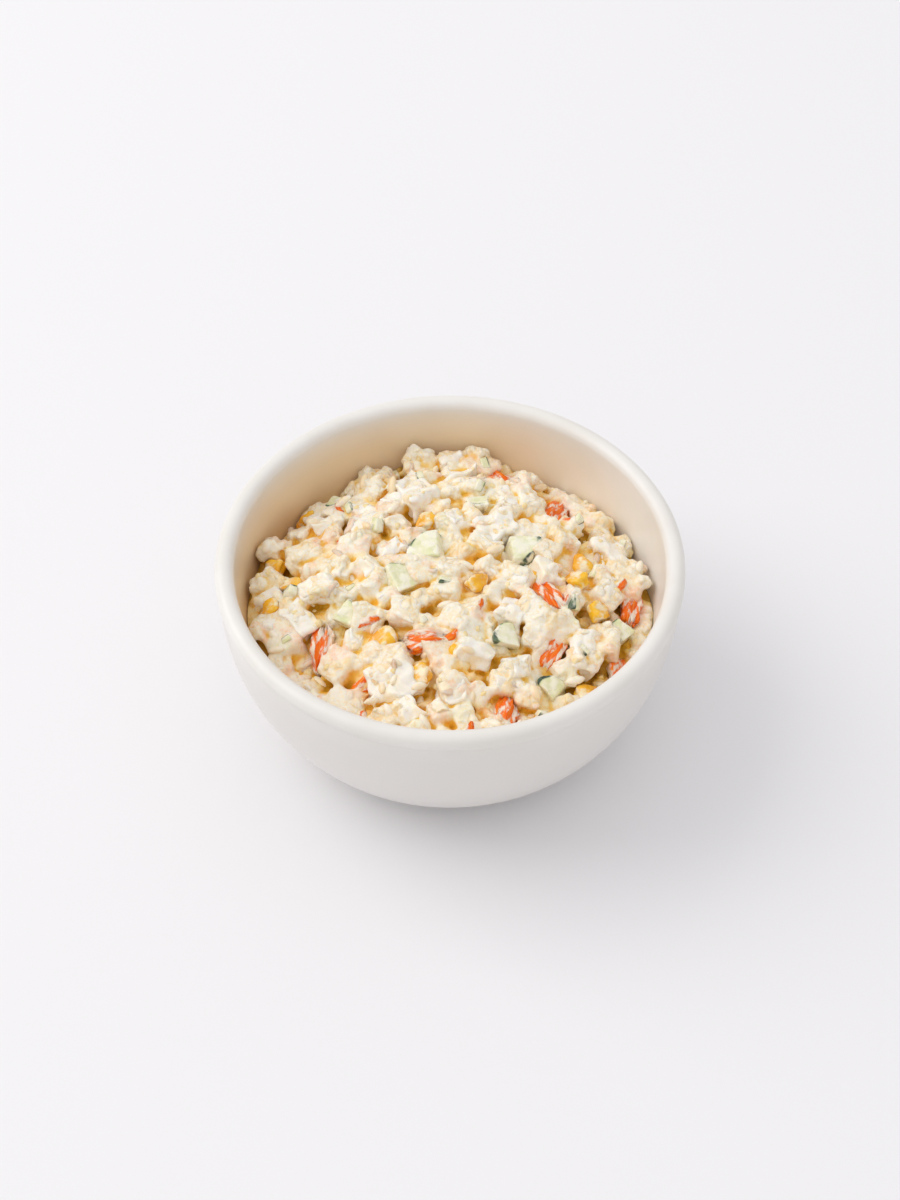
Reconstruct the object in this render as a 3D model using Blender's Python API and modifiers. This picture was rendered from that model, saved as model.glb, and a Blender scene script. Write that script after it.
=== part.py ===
"""Crab salad heaped in a round glazed bowl, for Blender 4.5.

Two solids. The bowl is one turned wall with a rolled lip and a foot ring. The salad is one heap:
a core that follows the inside of the bowl, with the diced pieces and the rice that show fused to
its top. Metres, +Z up, with the origin under the foot ring on the bowl's axis.
"""

import math
import random
from dataclasses import dataclass

import bmesh
import bpy
from mathutils import Matrix, Vector, noise

MM = 0.001

# The bowl. Depths are measured down from the middle of the lip's bead.
BOWL_RADIUS = 80.0 * MM
BOWL_HEIGHT = 73.0 * MM
LIP_BEAD = 3.3 * MM
LIP_HEIGHT = BOWL_HEIGHT - LIP_BEAD
LIP_CENTRE = BOWL_RADIUS - LIP_BEAD
INNER_RADIUS = LIP_CENTRE - LIP_BEAD
INNER_DEPTH = 63.0 * MM
OUTER_RADIUS = 79.4 * MM
OUTER_DEPTH = 80.0 * MM
LIP_SET_IN = 0.9 * MM
LIP_SET_IN_DEPTH = 2.9 * MM
WALL_POWER = 2.3
BELLY_DEPTH = 60.0 * MM
BELLY_SLOPE = 45.0
UNDER_SLOPE = 6.0
UNDER_RADIUS = 22.0 * MM
FOOT_RADIUS = 40.0 * MM
FOOT_WIDTH = 4.5 * MM
FOOT_HEIGHT = 3.0 * MM
FOOT_RECESS = 2.2 * MM
FOOT_FLARE = 0.6 * MM
BOWL_STEPS = 48
INNER_POINTS = 8
OUTER_POINTS = 6
UNDER_POINTS = 4
LIP_POINTS = 7
LIP_END = -0.25 * math.pi
WALL_TOP = 2.0 * MM
WALL_FOOT = 62.9 * MM
OUTER_TOP = 3.6 * MM
WELD = 0.01 * MM

# The heap's core.
GAP = 0.3 * MM
EDGE_DEPTH = 23.8 * MM
EDGE_WAVE = 3.0 * MM
EDGE_WAVES = 4
CROWN_HEIGHT = 61.0 * MM
CROWN_POWER = 2.2
CORE_STEPS = 24
CORE_RINGS = 7
CORE_WALL_POINTS = 6
CORE_FOOT = 62.4 * MM
LUMP = 1.6 * MM
LUMP_SPACING = 13.0 * MM
SLOPE_REACH = 2.0 * MM

# The pieces on the heap.
SEED = 41
WALL_CLEARANCE = 0.7 * MM
GRAIN_LENGTH = 6.4 * MM
GRAIN_WIDTH = 2.9 * MM
GRAIN_HEIGHT = 0.9
GRAIN_COUNT = 56
GRAIN_SPACING = 5.0 * MM
DICE_SIZE = 8.6 * MM
DICE_ROUNDNESS = 0.55
DICE_SWELL = 0.53
DICE_JITTER = 0.14
DICE_COUNT = 110
DICE_SPACING = 7.4 * MM
KERNEL_LENGTH = 8.0 * MM
KERNEL_WIDTH = 0.92
KERNEL_THICKNESS = 0.68
KERNEL_TAPER = 0.55
EGG_WIDTH = 0.7
EGG_THICKNESS = 0.5
EGG_BEVEL = 0.12
CRAB_WIDTH = 7.5 * MM
CRAB_THICKNESS = 4.5 * MM
CRAB_TAPER = 0.35
CUCUMBER_WIDTH = 0.85
CUCUMBER_THICKNESS = 6.0 * MM
CUCUMBER_SPREAD = 60.0
CUCUMBER_SKIN_POINTS = 4
CUCUMBER_LEAN = 0.15
NUDGE = 0.1 * MM
NUDGES = 8
TRIES = 60
TOP_OF_HEAP = 65.5 * MM
FLAT_ANGLE = 3.0

# Where the pieces that stand out lie, seen from above: millimetres to the right of the middle and
# away from the viewer, the turn in degrees, and the length in millimetres.
CRAB_AT = (
    (37, 39, -60, 19), (-42, 22, 5, 12), (-28, -42, 65, 13), (-43, -25, -45, 12), (33, -6, -30, 12),
    (62, -4, -30, 12), (34, -28, 15, 10), (-9, -27, 60, 11), (18, -53, 10, 12), (57, -30, 40, 9),
    (18, 56, 5, 11),
)
CUCUMBER_AT = (
    (-7, 13, 10, 15), (-17, -1, -25, 15), (-35, -14, -70, 11), (24, 14, 20, 14), (10, 37, -20, 10),
    (19, -25, -15, 12), (58, -16, 20, 10), (34, -41, -65, 11), (-40, 46, -20, 8),
)
CORN_AT = (
    (-51, 41, -25), (-8, 26, 10), (9, -2, -15), (-22, -25, -55), (43, 0, -15), (50, -11, -40),
    (-61, -7, -75), (-60, 13, -35), (-54, 2, -60), (45, 10, 0), (-9, -40, -30), (45, -40, -10),
    (3, -31, -40),
)
EGG_AT = (
    (-28, 28, 15, 15), (-13, 43, -40, 17), (15, 24, 50, 14), (20, 39, -40, 12), (3, 55, 10, 13),
    (54, 20, 30, 12), (33, 3, 15, 10), (-44, -3, 70, 11), (-44, 32, -20, 11), (-19, -41, 55, 17),
    (-61, -2, -30, 9), (21, -15, 5, 12), (8, -32, 40, 12), (44, -26, 40, 14), (-50, -14, 10, 11),
    (-14, -53, 25, 12), (-20, 14, 20, 10), (-46, 44, -50, 14),
)


@dataclass(frozen=True)
class Lie:
    """How a kind of piece lies: the share of its half height that goes under, and its largest tilt."""

    sink: float
    tilt: float


EGG_LIE = Lie(0.3, 12.0)
CRAB_LIE = Lie(0.25, 12.0)
CUCUMBER_LIE = Lie(0.3, 12.0)
CORN_LIE = Lie(0.25, 25.0)
DICE_LIE = Lie(0.3, 25.0)
GRAIN_LIE = Lie(0.2, 15.0)


def clear_scene():
    """Remove every object that the file starts with."""
    for old in list(bpy.data.objects):
        bpy.data.objects.remove(old, do_unlink=True)


def new_collection(name, hidden=False):
    """A collection in the scene."""
    collection = bpy.data.collections.new(name)
    collection.hide_render = hidden
    bpy.context.scene.collection.children.link(collection)
    return collection


def plain_material(name, colour, roughness, metallic=0.0):
    """A plain surface of one colour."""
    material = bpy.data.materials.new(name)
    material.use_nodes = True
    surface = material.node_tree.nodes["Principled BSDF"]
    surface.inputs["Base Color"].default_value = (*colour, 1.0)
    surface.inputs["Roughness"].default_value = roughness
    surface.inputs["Metallic"].default_value = metallic
    return material


def superellipse(depth, radius, full_depth):
    """Radius of a round wall at a depth below its mouth."""
    share = min(max(depth / full_depth, 0.0), 1.0)
    return radius * (1.0 - share**WALL_POWER) ** (1.0 / WALL_POWER)


def inner_radius(depth):
    """Radius of the bowl's inner wall at a depth."""
    return superellipse(depth, INNER_RADIUS, INNER_DEPTH)


def outer_radius(depth):
    """The wall is set in a little under the lip's bead."""
    groove = LIP_SET_IN * math.exp(-(((depth - LIP_SET_IN_DEPTH) / LIP_SET_IN_DEPTH) ** 2))
    return superellipse(depth, OUTER_RADIUS, OUTER_DEPTH) - groove


def steps(first, last, count):
    """Evenly spread values, with both ends."""
    return [first + (last - first) * i / (count - 1) for i in range(count)]


def wall_depths(first, last, full_depth, count):
    """Depths that lie closer together where the wall turns in to the bottom."""
    turns = steps(math.asin(first / full_depth), math.asin(last / full_depth), count)
    return [full_depth * math.sin(turn) for turn in turns]


def bowl_profile():
    """Half section as (radius, height), from the inner bottom over the lip to the underside."""
    inner = [(0.0, LIP_HEIGHT - INNER_DEPTH)]
    for depth in reversed(wall_depths(WALL_TOP, WALL_FOOT, INNER_DEPTH, INNER_POINTS)):
        inner.append((inner_radius(depth), LIP_HEIGHT - depth))
    lip = []
    for turn in steps(math.pi, LIP_END, LIP_POINTS):
        lip.append((LIP_CENTRE + LIP_BEAD * math.cos(turn), LIP_HEIGHT + LIP_BEAD * math.sin(turn)))
    outer = []
    for depth in wall_depths(OUTER_TOP, BELLY_DEPTH, OUTER_DEPTH, OUTER_POINTS):
        outer.append((outer_radius(depth), LIP_HEIGHT - depth))
    belly_radius, belly_height = outer[-1]
    belly_turn = math.radians(BELLY_SLOPE)
    for turn in steps(belly_turn, math.radians(UNDER_SLOPE), UNDER_POINTS)[1:]:
        outer.append((belly_radius - UNDER_RADIUS * (math.sin(belly_turn) - math.sin(turn)),
                      belly_height - UNDER_RADIUS * (math.cos(turn) - math.cos(belly_turn))))
    foot = [
        (FOOT_RADIUS + FOOT_FLARE, FOOT_HEIGHT),
        (FOOT_RADIUS, 0.0),
        (FOOT_RADIUS - FOOT_WIDTH, 0.0),
        (FOOT_RADIUS - FOOT_WIDTH - FOOT_FLARE, FOOT_RECESS),
        (0.0, FOOT_RECESS),
    ]
    return inner + lip + outer + foot


def turned(name, profile, turns, collection):
    """A profile of (radius, height) turned round the Z axis by a Screw modifier."""
    mesh = bpy.data.meshes.new(name)
    edges = [(i, i + 1) for i in range(len(profile) - 1)]
    mesh.from_pydata([(radius, 0.0, height) for radius, height in profile], edges, [])
    obj = bpy.data.objects.new(name, mesh)
    collection.objects.link(obj)
    screw = obj.modifiers.new("Turned", "SCREW")
    screw.steps = turns
    screw.render_steps = turns
    screw.use_merge_vertices = True
    screw.merge_threshold = WELD
    screw.use_smooth_shade = True
    return obj


def make_mesh_of(obj):
    """Apply an object's modifiers."""
    graph = bpy.context.evaluated_depsgraph_get()
    mesh = bpy.data.meshes.new_from_object(obj.evaluated_get(graph))
    obj.modifiers.clear()
    obj.data = mesh


def edge_depth(angle):
    """Depth at which the heap leaves the wall: higher and lower in turn round the bowl."""
    return EDGE_DEPTH - EDGE_WAVE * math.cos(EDGE_WAVES * angle)


def heap_height(x, y):
    """Height of the heap's core over a point."""
    angle = math.atan2(y, x)
    depth = edge_depth(angle)
    edge = inner_radius(depth) - GAP
    share = min(math.hypot(x, y) / edge, 1.0)
    low = LIP_HEIGHT - depth
    crown = low + (CROWN_HEIGHT - low) * (1.0 - share**CROWN_POWER)
    lump = noise.noise(Vector((x, y, 0.0)) / LUMP_SPACING) * 2.0 * LUMP
    return crown + lump * (1.0 - share**6)


def heap_normal(x, y):
    """The heap's upward direction over a point, without the pieces."""
    slope_x = (heap_height(x + SLOPE_REACH, y) - heap_height(x - SLOPE_REACH, y)) / (2.0 * SLOPE_REACH)
    slope_y = (heap_height(x, y + SLOPE_REACH) - heap_height(x, y - SLOPE_REACH)) / (2.0 * SLOPE_REACH)
    return Vector((-slope_x, -slope_y, 1.0)).normalized()


def heap_core(collection):
    """The mass of the salad: the inside of the bowl less a gap, under a lumpy crown."""
    wall = [(0.0, LIP_HEIGHT - INNER_DEPTH + GAP)]
    for depth in reversed(wall_depths(EDGE_DEPTH, CORE_FOOT, INNER_DEPTH, CORE_WALL_POINTS)):
        wall.append((inner_radius(depth + GAP) - GAP, LIP_HEIGHT - depth))
    edge_radius = wall[-1][0]
    top = [(edge_radius * (1.0 - i / CORE_RINGS), LIP_HEIGHT) for i in range(1, CORE_RINGS + 1)]
    core = turned("salad", wall + top, CORE_STEPS, collection)
    make_mesh_of(core)
    for vertex in core.data.vertices:
        x, y, z = vertex.co
        angle = math.atan2(y, x)
        radius = math.hypot(x, y)
        depth = edge_depth(angle)
        if z >= LIP_HEIGHT - EDGE_DEPTH - GAP:
            new_radius = radius / edge_radius * (inner_radius(depth + GAP) - GAP)
            scale = new_radius / radius if radius > 0.0 else 1.0
            vertex.co = (x * scale, y * scale, heap_height(x * scale, y * scale))
        elif radius > 0.0:
            share = (LIP_HEIGHT - z - EDGE_DEPTH) / (INNER_DEPTH - EDGE_DEPTH)
            new_depth = depth + share * (INNER_DEPTH - depth)
            new_radius = inner_radius(new_depth + GAP) - GAP
            vertex.co = (x / radius * new_radius, y / radius * new_radius, LIP_HEIGHT - new_depth)
    return core


def wall_room(point):
    """How far a point lies inside the bowl's inner wall, measured level. Negative is in the wall."""
    return inner_radius(LIP_HEIGHT - point.z) - math.hypot(point.x, point.y)


def small_dice(rng, size):
    """A diced piece: a block with cut corners, no two alike."""
    shape = bmesh.new()
    bmesh.ops.create_icosphere(shape, subdivisions=1, radius=1.0)
    length = DICE_SIZE * size
    sides = (length, length * rng.uniform(0.7, 0.95), length * rng.uniform(0.55, 0.8))
    for vertex in shape.verts:
        boxy = [math.copysign(abs(part) ** DICE_ROUNDNESS, part) * DICE_SWELL for part in vertex.co.normalized()]
        jitter = [rng.uniform(1.0 - DICE_JITTER, 1.0 + DICE_JITTER) for _ in range(3)]
        vertex.co = [part * side * shift for part, side, shift in zip(boxy, sides, jitter)]
    return shape


def slab(rng, length, width, height):
    """A flat cut piece of boiled egg white with bevelled edges."""
    shape = bmesh.new()
    bmesh.ops.create_cube(shape, size=1.0)
    for vertex in shape.verts:
        jitter = [rng.uniform(0.78, 1.08) for _ in range(3)]
        vertex.co = [part * side * shift for part, side, shift in zip(vertex.co, (length, width, height), jitter)]
    bmesh.ops.bevel(shape, geom=shape.edges[:], offset=EGG_BEVEL * min(width, height), affect="EDGES",
                    segments=1, profile=0.5, material=-1)
    return shape


def crab_strip(rng, length, width, height):
    """A flake of crab stick: a flat strip that bends a little along its length."""
    shape = bmesh.new()
    bmesh.ops.create_cube(shape, size=1.0)
    along = [edge for edge in shape.edges if abs(edge.verts[0].co.x - edge.verts[1].co.x) > 0.5]
    bmesh.ops.subdivide_edges(shape, edges=along, cuts=3, use_grid_fill=True)
    bend = rng.uniform(0.10, 0.22) * length
    for vertex in shape.verts:
        x, y, z = vertex.co
        out = (2.0 * x) ** 2
        end = 1.0 - CRAB_TAPER * out
        vertex.co = (x * length, y * width * end, z * height * end - bend * out)
    return shape


def cucumber_wedge(rng, length, width, height):
    """A wedge of a cucumber slice: the point, two straight cuts, and the round skin opposite."""
    shape = bmesh.new()
    spread = math.radians(CUCUMBER_SPREAD)
    round_radius = 0.5 / math.sin(spread)
    outline = [(0.0, -0.5)]
    for turn in steps(spread, -spread, CUCUMBER_SKIN_POINTS):
        outline.append((round_radius * math.sin(turn), round_radius * (math.cos(turn) - 1.0) + 0.5))
    lean = rng.uniform(-CUCUMBER_LEAN, CUCUMBER_LEAN)
    lower = [shape.verts.new(((x - lean) * length, y * width, -height / 2.0)) for x, y in outline]
    upper = [shape.verts.new(((x + lean) * length, y * width, height / 2.0)) for x, y in outline]
    shape.faces.new(upper)
    shape.faces.new(reversed(lower))
    for i, vertex in enumerate(lower):
        other = (i + 1) % len(lower)
        shape.faces.new((vertex, lower[other], upper[other], upper[i]))
    bmesh.ops.recalc_face_normals(shape, faces=shape.faces[:])
    return shape


def corn_kernel(length):
    """A sweetcorn kernel: a plump crown that narrows to the end that sat in the cob."""
    shape = bmesh.new()
    bmesh.ops.create_uvsphere(shape, u_segments=7, v_segments=4, radius=0.5)
    turn = Matrix.Rotation(math.radians(90.0), 3, "Y")
    for vertex in shape.verts:
        x, y, z = turn @ vertex.co
        narrow = 1.0 - KERNEL_TAPER * (x + 0.5) ** 1.5
        vertex.co = (x * length, y * length * KERNEL_WIDTH * narrow, z * length * KERNEL_THICKNESS * narrow)
    return shape


def rice_grain(rng, size):
    """A cooked grain: a blunt spindle with a slight curve."""
    shape = bmesh.new()
    bmesh.ops.create_uvsphere(shape, u_segments=6, v_segments=3, radius=0.5)
    turn = Matrix.Rotation(math.radians(90.0), 3, "Y")
    length = GRAIN_LENGTH * size
    width = GRAIN_WIDTH * rng.uniform(0.9, 1.15)
    curve = rng.uniform(0.0, 0.12) * length
    for vertex in shape.verts:
        x, y, z = turn @ vertex.co
        vertex.co = (x * length, y * width + curve * (2.0 * x) ** 2, z * width * GRAIN_HEIGHT)
    return shape


class Heap:
    """Lays pieces on the core so that they sink in, keep off the wall and stay below the lip.

    One random stream says where and how the pieces lie, and another how uneven each one is.
    """

    def __init__(self, collection, seed):
        self.collection = collection
        self.places = random.Random(seed)
        self.forms = random.Random(seed + 1)
        self.spots = []

    def lay(self, shape, x, y, turn, lie):
        """Put a piece on the core over a point, turned about the core's own upward direction."""
        middle = Vector((x, y, heap_height(x, y)))
        normal = heap_normal(x, y)
        lean = self.places.uniform(-lie.tilt, lie.tilt)
        roll = self.places.uniform(-lie.tilt, lie.tilt)
        stand = normal.to_track_quat("Z", "Y").to_matrix()
        spin = Matrix.Rotation(math.radians(turn), 3, "Z")
        tip = Matrix.Rotation(math.radians(lean), 3, "X") @ Matrix.Rotation(math.radians(roll), 3, "Y")
        half_height = max(vertex.co.z for vertex in shape.verts)
        middle += normal * half_height * (1.0 - 2.0 * lie.sink)
        for vertex in shape.verts:
            vertex.co = stand @ spin @ tip @ vertex.co + middle
        self.keep_inside(shape)
        bmesh.ops.triangulate(shape, faces=shape.faces[:])
        bmesh.ops.recalc_face_normals(shape, faces=shape.faces[:])
        mesh = bpy.data.meshes.new("piece")
        shape.to_mesh(mesh)
        shape.free()
        self.collection.objects.link(bpy.data.objects.new("piece", mesh))
        self.spots.append((x, y))

    def keep_inside(self, shape):
        """Move a piece off the wall and down to the heap's top height."""
        for _ in range(NUDGES):
            tight = min(shape.verts, key=lambda vertex: wall_room(vertex.co))
            room = wall_room(tight.co) - WALL_CLEARANCE
            if room >= 0.0:
                break
            level = Vector((tight.co.x, tight.co.y, 0.0)).normalized()
            bmesh.ops.translate(shape, vec=level * (room - NUDGE), verts=shape.verts[:])
        top = max(vertex.co.z for vertex in shape.verts)
        if top > TOP_OF_HEAP:
            bmesh.ops.translate(shape, vec=(0.0, 0.0, TOP_OF_HEAP - top), verts=shape.verts[:])

    def free_spot(self, keep_off, reach):
        """A random spot at least keep_off from every piece laid so far, or None."""
        for _ in range(TRIES):
            radius = reach * math.sqrt(self.places.random())
            angle = self.places.uniform(0.0, 2.0 * math.pi)
            x, y = radius * math.cos(angle), radius * math.sin(angle)
            if all(math.hypot(x - a, y - b) > keep_off for a, b in self.spots):
                return x, y
        return None

    def scatter(self, count, keep_off, reach, sizes, make, lie):
        """Spread pieces of varied size over the spots that are still free."""
        for _ in range(count):
            spot = self.free_spot(keep_off, reach)
            if spot is None:
                continue
            turn = self.places.uniform(0.0, 360.0)
            size = self.places.uniform(*sizes)
            self.lay(make(self.forms, size), *spot, turn, lie)


def lay_landmarks(heap):
    """The larger and the coloured pieces, each where it lies in the salad."""
    forms = heap.forms
    for x, y, turn, length in EGG_AT:
        shape = slab(forms, length * MM, length * EGG_WIDTH * MM, length * EGG_THICKNESS * MM)
        heap.lay(shape, x * MM, y * MM, turn, EGG_LIE)
    for x, y, turn, length in CRAB_AT:
        shape = crab_strip(forms, length * MM, CRAB_WIDTH, CRAB_THICKNESS)
        heap.lay(shape, x * MM, y * MM, turn, CRAB_LIE)
    for x, y, turn, length in CUCUMBER_AT:
        shape = cucumber_wedge(forms, length * MM, length * CUCUMBER_WIDTH * MM, CUCUMBER_THICKNESS)
        heap.lay(shape, x * MM, y * MM, turn, CUCUMBER_LIE)
    for x, y, turn in CORN_AT:
        heap.lay(corn_kernel(KERNEL_LENGTH), x * MM, y * MM, turn, CORN_LIE)


def scatter_small_pieces(heap):
    """The dice between the larger pieces, and the rice grains between the dice."""
    edge = inner_radius(EDGE_DEPTH)
    heap.scatter(DICE_COUNT, DICE_SPACING, edge - DICE_SIZE * 0.4, (0.75, 1.3), small_dice, DICE_LIE)
    heap.scatter(GRAIN_COUNT, GRAIN_SPACING, edge - GRAIN_WIDTH, (0.85, 1.1), rice_grain, GRAIN_LIE)


def islands(shape):
    """The separate closed pieces of a mesh, each a list of faces."""
    left = set(shape.faces)
    found = []
    while left:
        group = [left.pop()]
        for face in group:
            for edge in face.edges:
                for other in edge.link_faces:
                    if other in left:
                        left.remove(other)
                        group.append(other)
        found.append(group)
    return found


def keep_largest_body(obj):
    """Drop loose scraps and fill sealed hollows, both of which are smaller closed pieces."""
    shape = bmesh.new()
    shape.from_mesh(obj.data)
    bmesh.ops.triangulate(shape, faces=shape.faces[:])
    bodies = sorted(islands(shape), key=len)
    for body in bodies[:-1]:
        bmesh.ops.delete(shape, geom=body, context="FACES")
    loose = [vertex for vertex in shape.verts if not vertex.link_faces]
    bmesh.ops.delete(shape, geom=loose, context="VERTS")
    bmesh.ops.dissolve_limit(shape, angle_limit=math.radians(FLAT_ANGLE), verts=shape.verts[:],
                             edges=shape.edges[:], use_dissolve_boundaries=False)
    bmesh.ops.triangulate(shape, faces=shape.faces[:])
    shape.to_mesh(obj.data)
    shape.free()


def fuse(core, pieces):
    """Join every piece to the core by one Boolean union, and remove the pieces."""
    union = core.modifiers.new("Fused", "BOOLEAN")
    union.operation = "UNION"
    union.operand_type = "COLLECTION"
    union.collection = pieces
    union.solver = "EXACT"
    bpy.context.view_layer.update()
    make_mesh_of(core)
    for piece in list(pieces.objects):
        bpy.data.objects.remove(piece, do_unlink=True)
    bpy.data.collections.remove(pieces)
    keep_largest_body(core)


def main():
    clear_scene()
    dish = new_collection("Crab salad in its bowl")
    bowl = turned("bowl", bowl_profile(), BOWL_STEPS, dish)
    bowl.data.materials.append(plain_material("Cream glazed stoneware", (0.86, 0.83, 0.79), 0.35))

    core = heap_core(dish)
    pieces = new_collection("Pieces of the salad", hidden=True)
    heap = Heap(pieces, SEED)
    lay_landmarks(heap)
    scatter_small_pieces(heap)
    fuse(core, pieces)
    core.data.materials.clear()
    core.data.materials.append(plain_material("Dressed salad", (0.85, 0.74, 0.55), 0.45))


main()
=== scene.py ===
"""Crab salad heaped in a round cream glazed bowl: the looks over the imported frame.

The bowl is one thrown stoneware wall under a cream glaze. The salad is a mass of rice and chopped
egg bound with mayonnaise, and the larger pieces lie in it where the frame's heap has them. Pieces
are modelled in millimetres and turned to metres as they are finished.
"""

import logging
import math
import random
from collections.abc import Iterable, Sequence
from dataclasses import dataclass, field
from enum import Enum

import bmesh
import bpy
import numpy as np
from mathutils import Matrix, Vector, noise
from mathutils.bvhtree import BVHTree
from mathutils.kdtree import KDTree


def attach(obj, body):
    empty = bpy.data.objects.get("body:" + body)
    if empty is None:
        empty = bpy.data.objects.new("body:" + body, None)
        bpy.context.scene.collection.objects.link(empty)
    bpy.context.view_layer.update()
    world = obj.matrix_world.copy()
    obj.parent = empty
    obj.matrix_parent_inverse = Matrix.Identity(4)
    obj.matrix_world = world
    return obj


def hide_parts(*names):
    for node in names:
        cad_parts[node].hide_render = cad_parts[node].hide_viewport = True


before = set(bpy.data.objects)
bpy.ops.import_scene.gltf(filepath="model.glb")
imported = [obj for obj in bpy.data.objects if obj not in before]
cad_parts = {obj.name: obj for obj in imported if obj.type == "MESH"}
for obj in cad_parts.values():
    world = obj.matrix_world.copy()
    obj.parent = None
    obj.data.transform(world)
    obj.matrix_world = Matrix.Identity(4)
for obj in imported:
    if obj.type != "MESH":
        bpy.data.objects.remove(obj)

log = logging.getLogger("crab_salad")

MM = 0.001
BODY = "root"


def linear(hex_colour: str) -> tuple[float, float, float, float]:
    """Turn an sRGB hex colour to linear RGBA.

    Args:
        hex_colour: a colour such as "#F4E9D6".

    Returns:
        Red, green, blue and alpha, with alpha 1.
    """
    parts = [int(hex_colour[start:start + 2], 16) / 255.0 for start in (1, 3, 5)]
    straight = [part / 12.92 if part <= 0.04045 else ((part + 0.055) / 1.055) ** 2.4 for part in parts]
    return (*straight, 1.0)


def per_mm(size: float) -> float:
    """Return the texture scale, on Object coordinates in metres, of a pattern this many millimetres wide."""
    return 1.0 / (size * MM)


def add_node(tree: bpy.types.NodeTree, kind: str, links: dict | None = None, **settings) -> bpy.types.Node:
    """Add a node with its settings and links.

    Args:
        tree: the node tree.
        kind: the node's type name, such as "ShaderNodeTexNoise".
        links: for each input, by name or number, its value or the output that feeds it.
        settings: the node's own properties.

    Returns:
        The new node.
    """
    made = tree.nodes.new(kind)
    for name, value in settings.items():
        setattr(made, name, value)
    for socket, value in (links or {}).items():
        if isinstance(value, bpy.types.NodeSocket):
            tree.links.new(value, made.inputs[socket])
        else:
            made.inputs[socket].default_value = value
    return made


Value = bpy.types.NodeSocket | float
Colour = bpy.types.NodeSocket | str


class Blend(Enum):
    """How one colour is laid over another."""

    MIX = "MIX"
    MULTIPLY = "MULTIPLY"


class Finish:
    """A material on Object coordinates, with the node helpers that the finishes share."""

    title = "finish"

    def __init__(self) -> None:
        """Start an empty material that ends in one Principled BSDF."""
        self.material = bpy.data.materials.new(self.title)
        self.material.use_nodes = True
        self.tree = self.material.node_tree
        self.surface = self.tree.nodes["Principled BSDF"]
        self.coordinates = add_node(self.tree, "ShaderNodeTexCoord").outputs["Object"]

    def cloud(self, size: float, detail: float = 3.0, rough: float = 0.55) -> bpy.types.NodeSocket:
        """Return a noise of this many millimetres, from 0 to 1."""
        made = add_node(self.tree, "ShaderNodeTexNoise", {
            "Vector": self.coordinates, "Scale": per_mm(size), "Detail": detail, "Roughness": rough})
        return made.outputs["Fac"]

    def cells(self, size: float) -> bpy.types.NodeSocket:
        """Return the distance to the seams between packed cells of this many millimetres."""
        made = add_node(self.tree, "ShaderNodeTexVoronoi", {
            "Vector": self.coordinates, "Scale": per_mm(size)}, feature="DISTANCE_TO_EDGE")
        return made.outputs["Distance"]

    def ramp(self, value: bpy.types.NodeSocket, low: float, high: float,
             to_low: float = 0.0, to_high: float = 1.0) -> bpy.types.NodeSocket:
        """Return a value stretched from low..high to to_low..to_high, and held at the ends."""
        made = add_node(self.tree, "ShaderNodeMapRange", {
            "Value": value, "From Min": low, "From Max": high, "To Min": to_low, "To Max": to_high},
            interpolation_type="SMOOTHSTEP")
        return made.outputs["Result"]

    def over(self, share: Value, below: Colour, above: Colour,
             blend: Blend = Blend.MIX) -> bpy.types.NodeSocket:
        """Return one colour laid over another.

        Args:
            share: how much of it, from 0 to 1.
            below: the lower colour, as a socket or in sRGB hex.
            above: the upper colour, likewise.
            blend: how it is laid.

        Returns:
            The mixed colour.
        """
        lower, upper = (linear(part) if isinstance(part, str) else part for part in (below, above))
        made = add_node(self.tree, "ShaderNodeMix", {0: share, 6: lower, 7: upper},
                        data_type="RGBA", blend_type=blend.value)
        return made.outputs[2]

    def product(self, first: Value, second: Value) -> bpy.types.NodeSocket:
        """Return two values multiplied."""
        return add_node(self.tree, "ShaderNodeMath", {0: first, 1: second}, operation="MULTIPLY").outputs[0]

    def mark(self, name: str) -> bpy.types.NodeSocket:
        """Return one of the mesh's own values, stored on its points."""
        return add_node(self.tree, "ShaderNodeAttribute", attribute_name=name).outputs["Fac"]

    def relief(self, height: Value, depth: float, strength: float = 1.0,
               below: bpy.types.NodeSocket | None = None) -> bpy.types.NodeSocket:
        """Return a bumped normal from a height that is this many millimetres deep."""
        links = {"Height": height, "Distance": depth * MM, "Strength": strength}
        if below is not None:
            links["Normal"] = below
        return add_node(self.tree, "ShaderNodeBump", links).outputs["Normal"]

    def dress(self, **sockets) -> None:
        """Set or link the surface's sockets, named with underscores for their spaces."""
        for name, value in sockets.items():
            socket = self.surface.inputs[name.replace("_", " ")]
            if isinstance(value, bpy.types.NodeSocket):
                self.tree.links.new(value, socket)
            else:
                socket.default_value = value


class StonewareGlaze(Finish):
    """Thrown stoneware under a cream glaze: a smooth satin skin, with painted shade, warmer down the inside
    and greyer low on the outside.
    """

    title = "Cream glazed stoneware"

    def __init__(self) -> None:
        """Mix the glaze: faint clouding, and the long soft waves that throwing leaves."""
        super().__init__()
        clouding = self.ramp(self.cloud(22.0), 0.35, 0.7)
        colour = self.over(clouding, "#F1EEEA", "#EDE9E3")
        # Painted shade: greyer low on the outer wall, warm painted shade and bounced light down the inside,
        # and a darker painted shadow low on the left inside wall.
        painted_shade = self.mark("painted_shade")
        colour = self.over(self.ramp(painted_shade, -1.0, 0.0, 1.0, 0.0), colour, "#E9E5E1")
        colour = self.over(painted_shade, colour, "#F3DDBB")
        colour = self.over(self.ramp(painted_shade, 1.0, 1.6), colour, "#DDB988")
        waves = self.cloud(14.0, 1.0, 0.4)
        grain = self.cloud(1.1, 2.0, 0.5)
        smooth = self.relief(waves, 0.35, 0.35)
        self.dress(
            Base_Color=colour,
            Roughness=self.ramp(clouding, 0.0, 1.0, 0.30, 0.38),
            IOR=1.5,
            Normal=self.relief(grain, 0.05, 0.25, smooth),
        )


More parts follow.
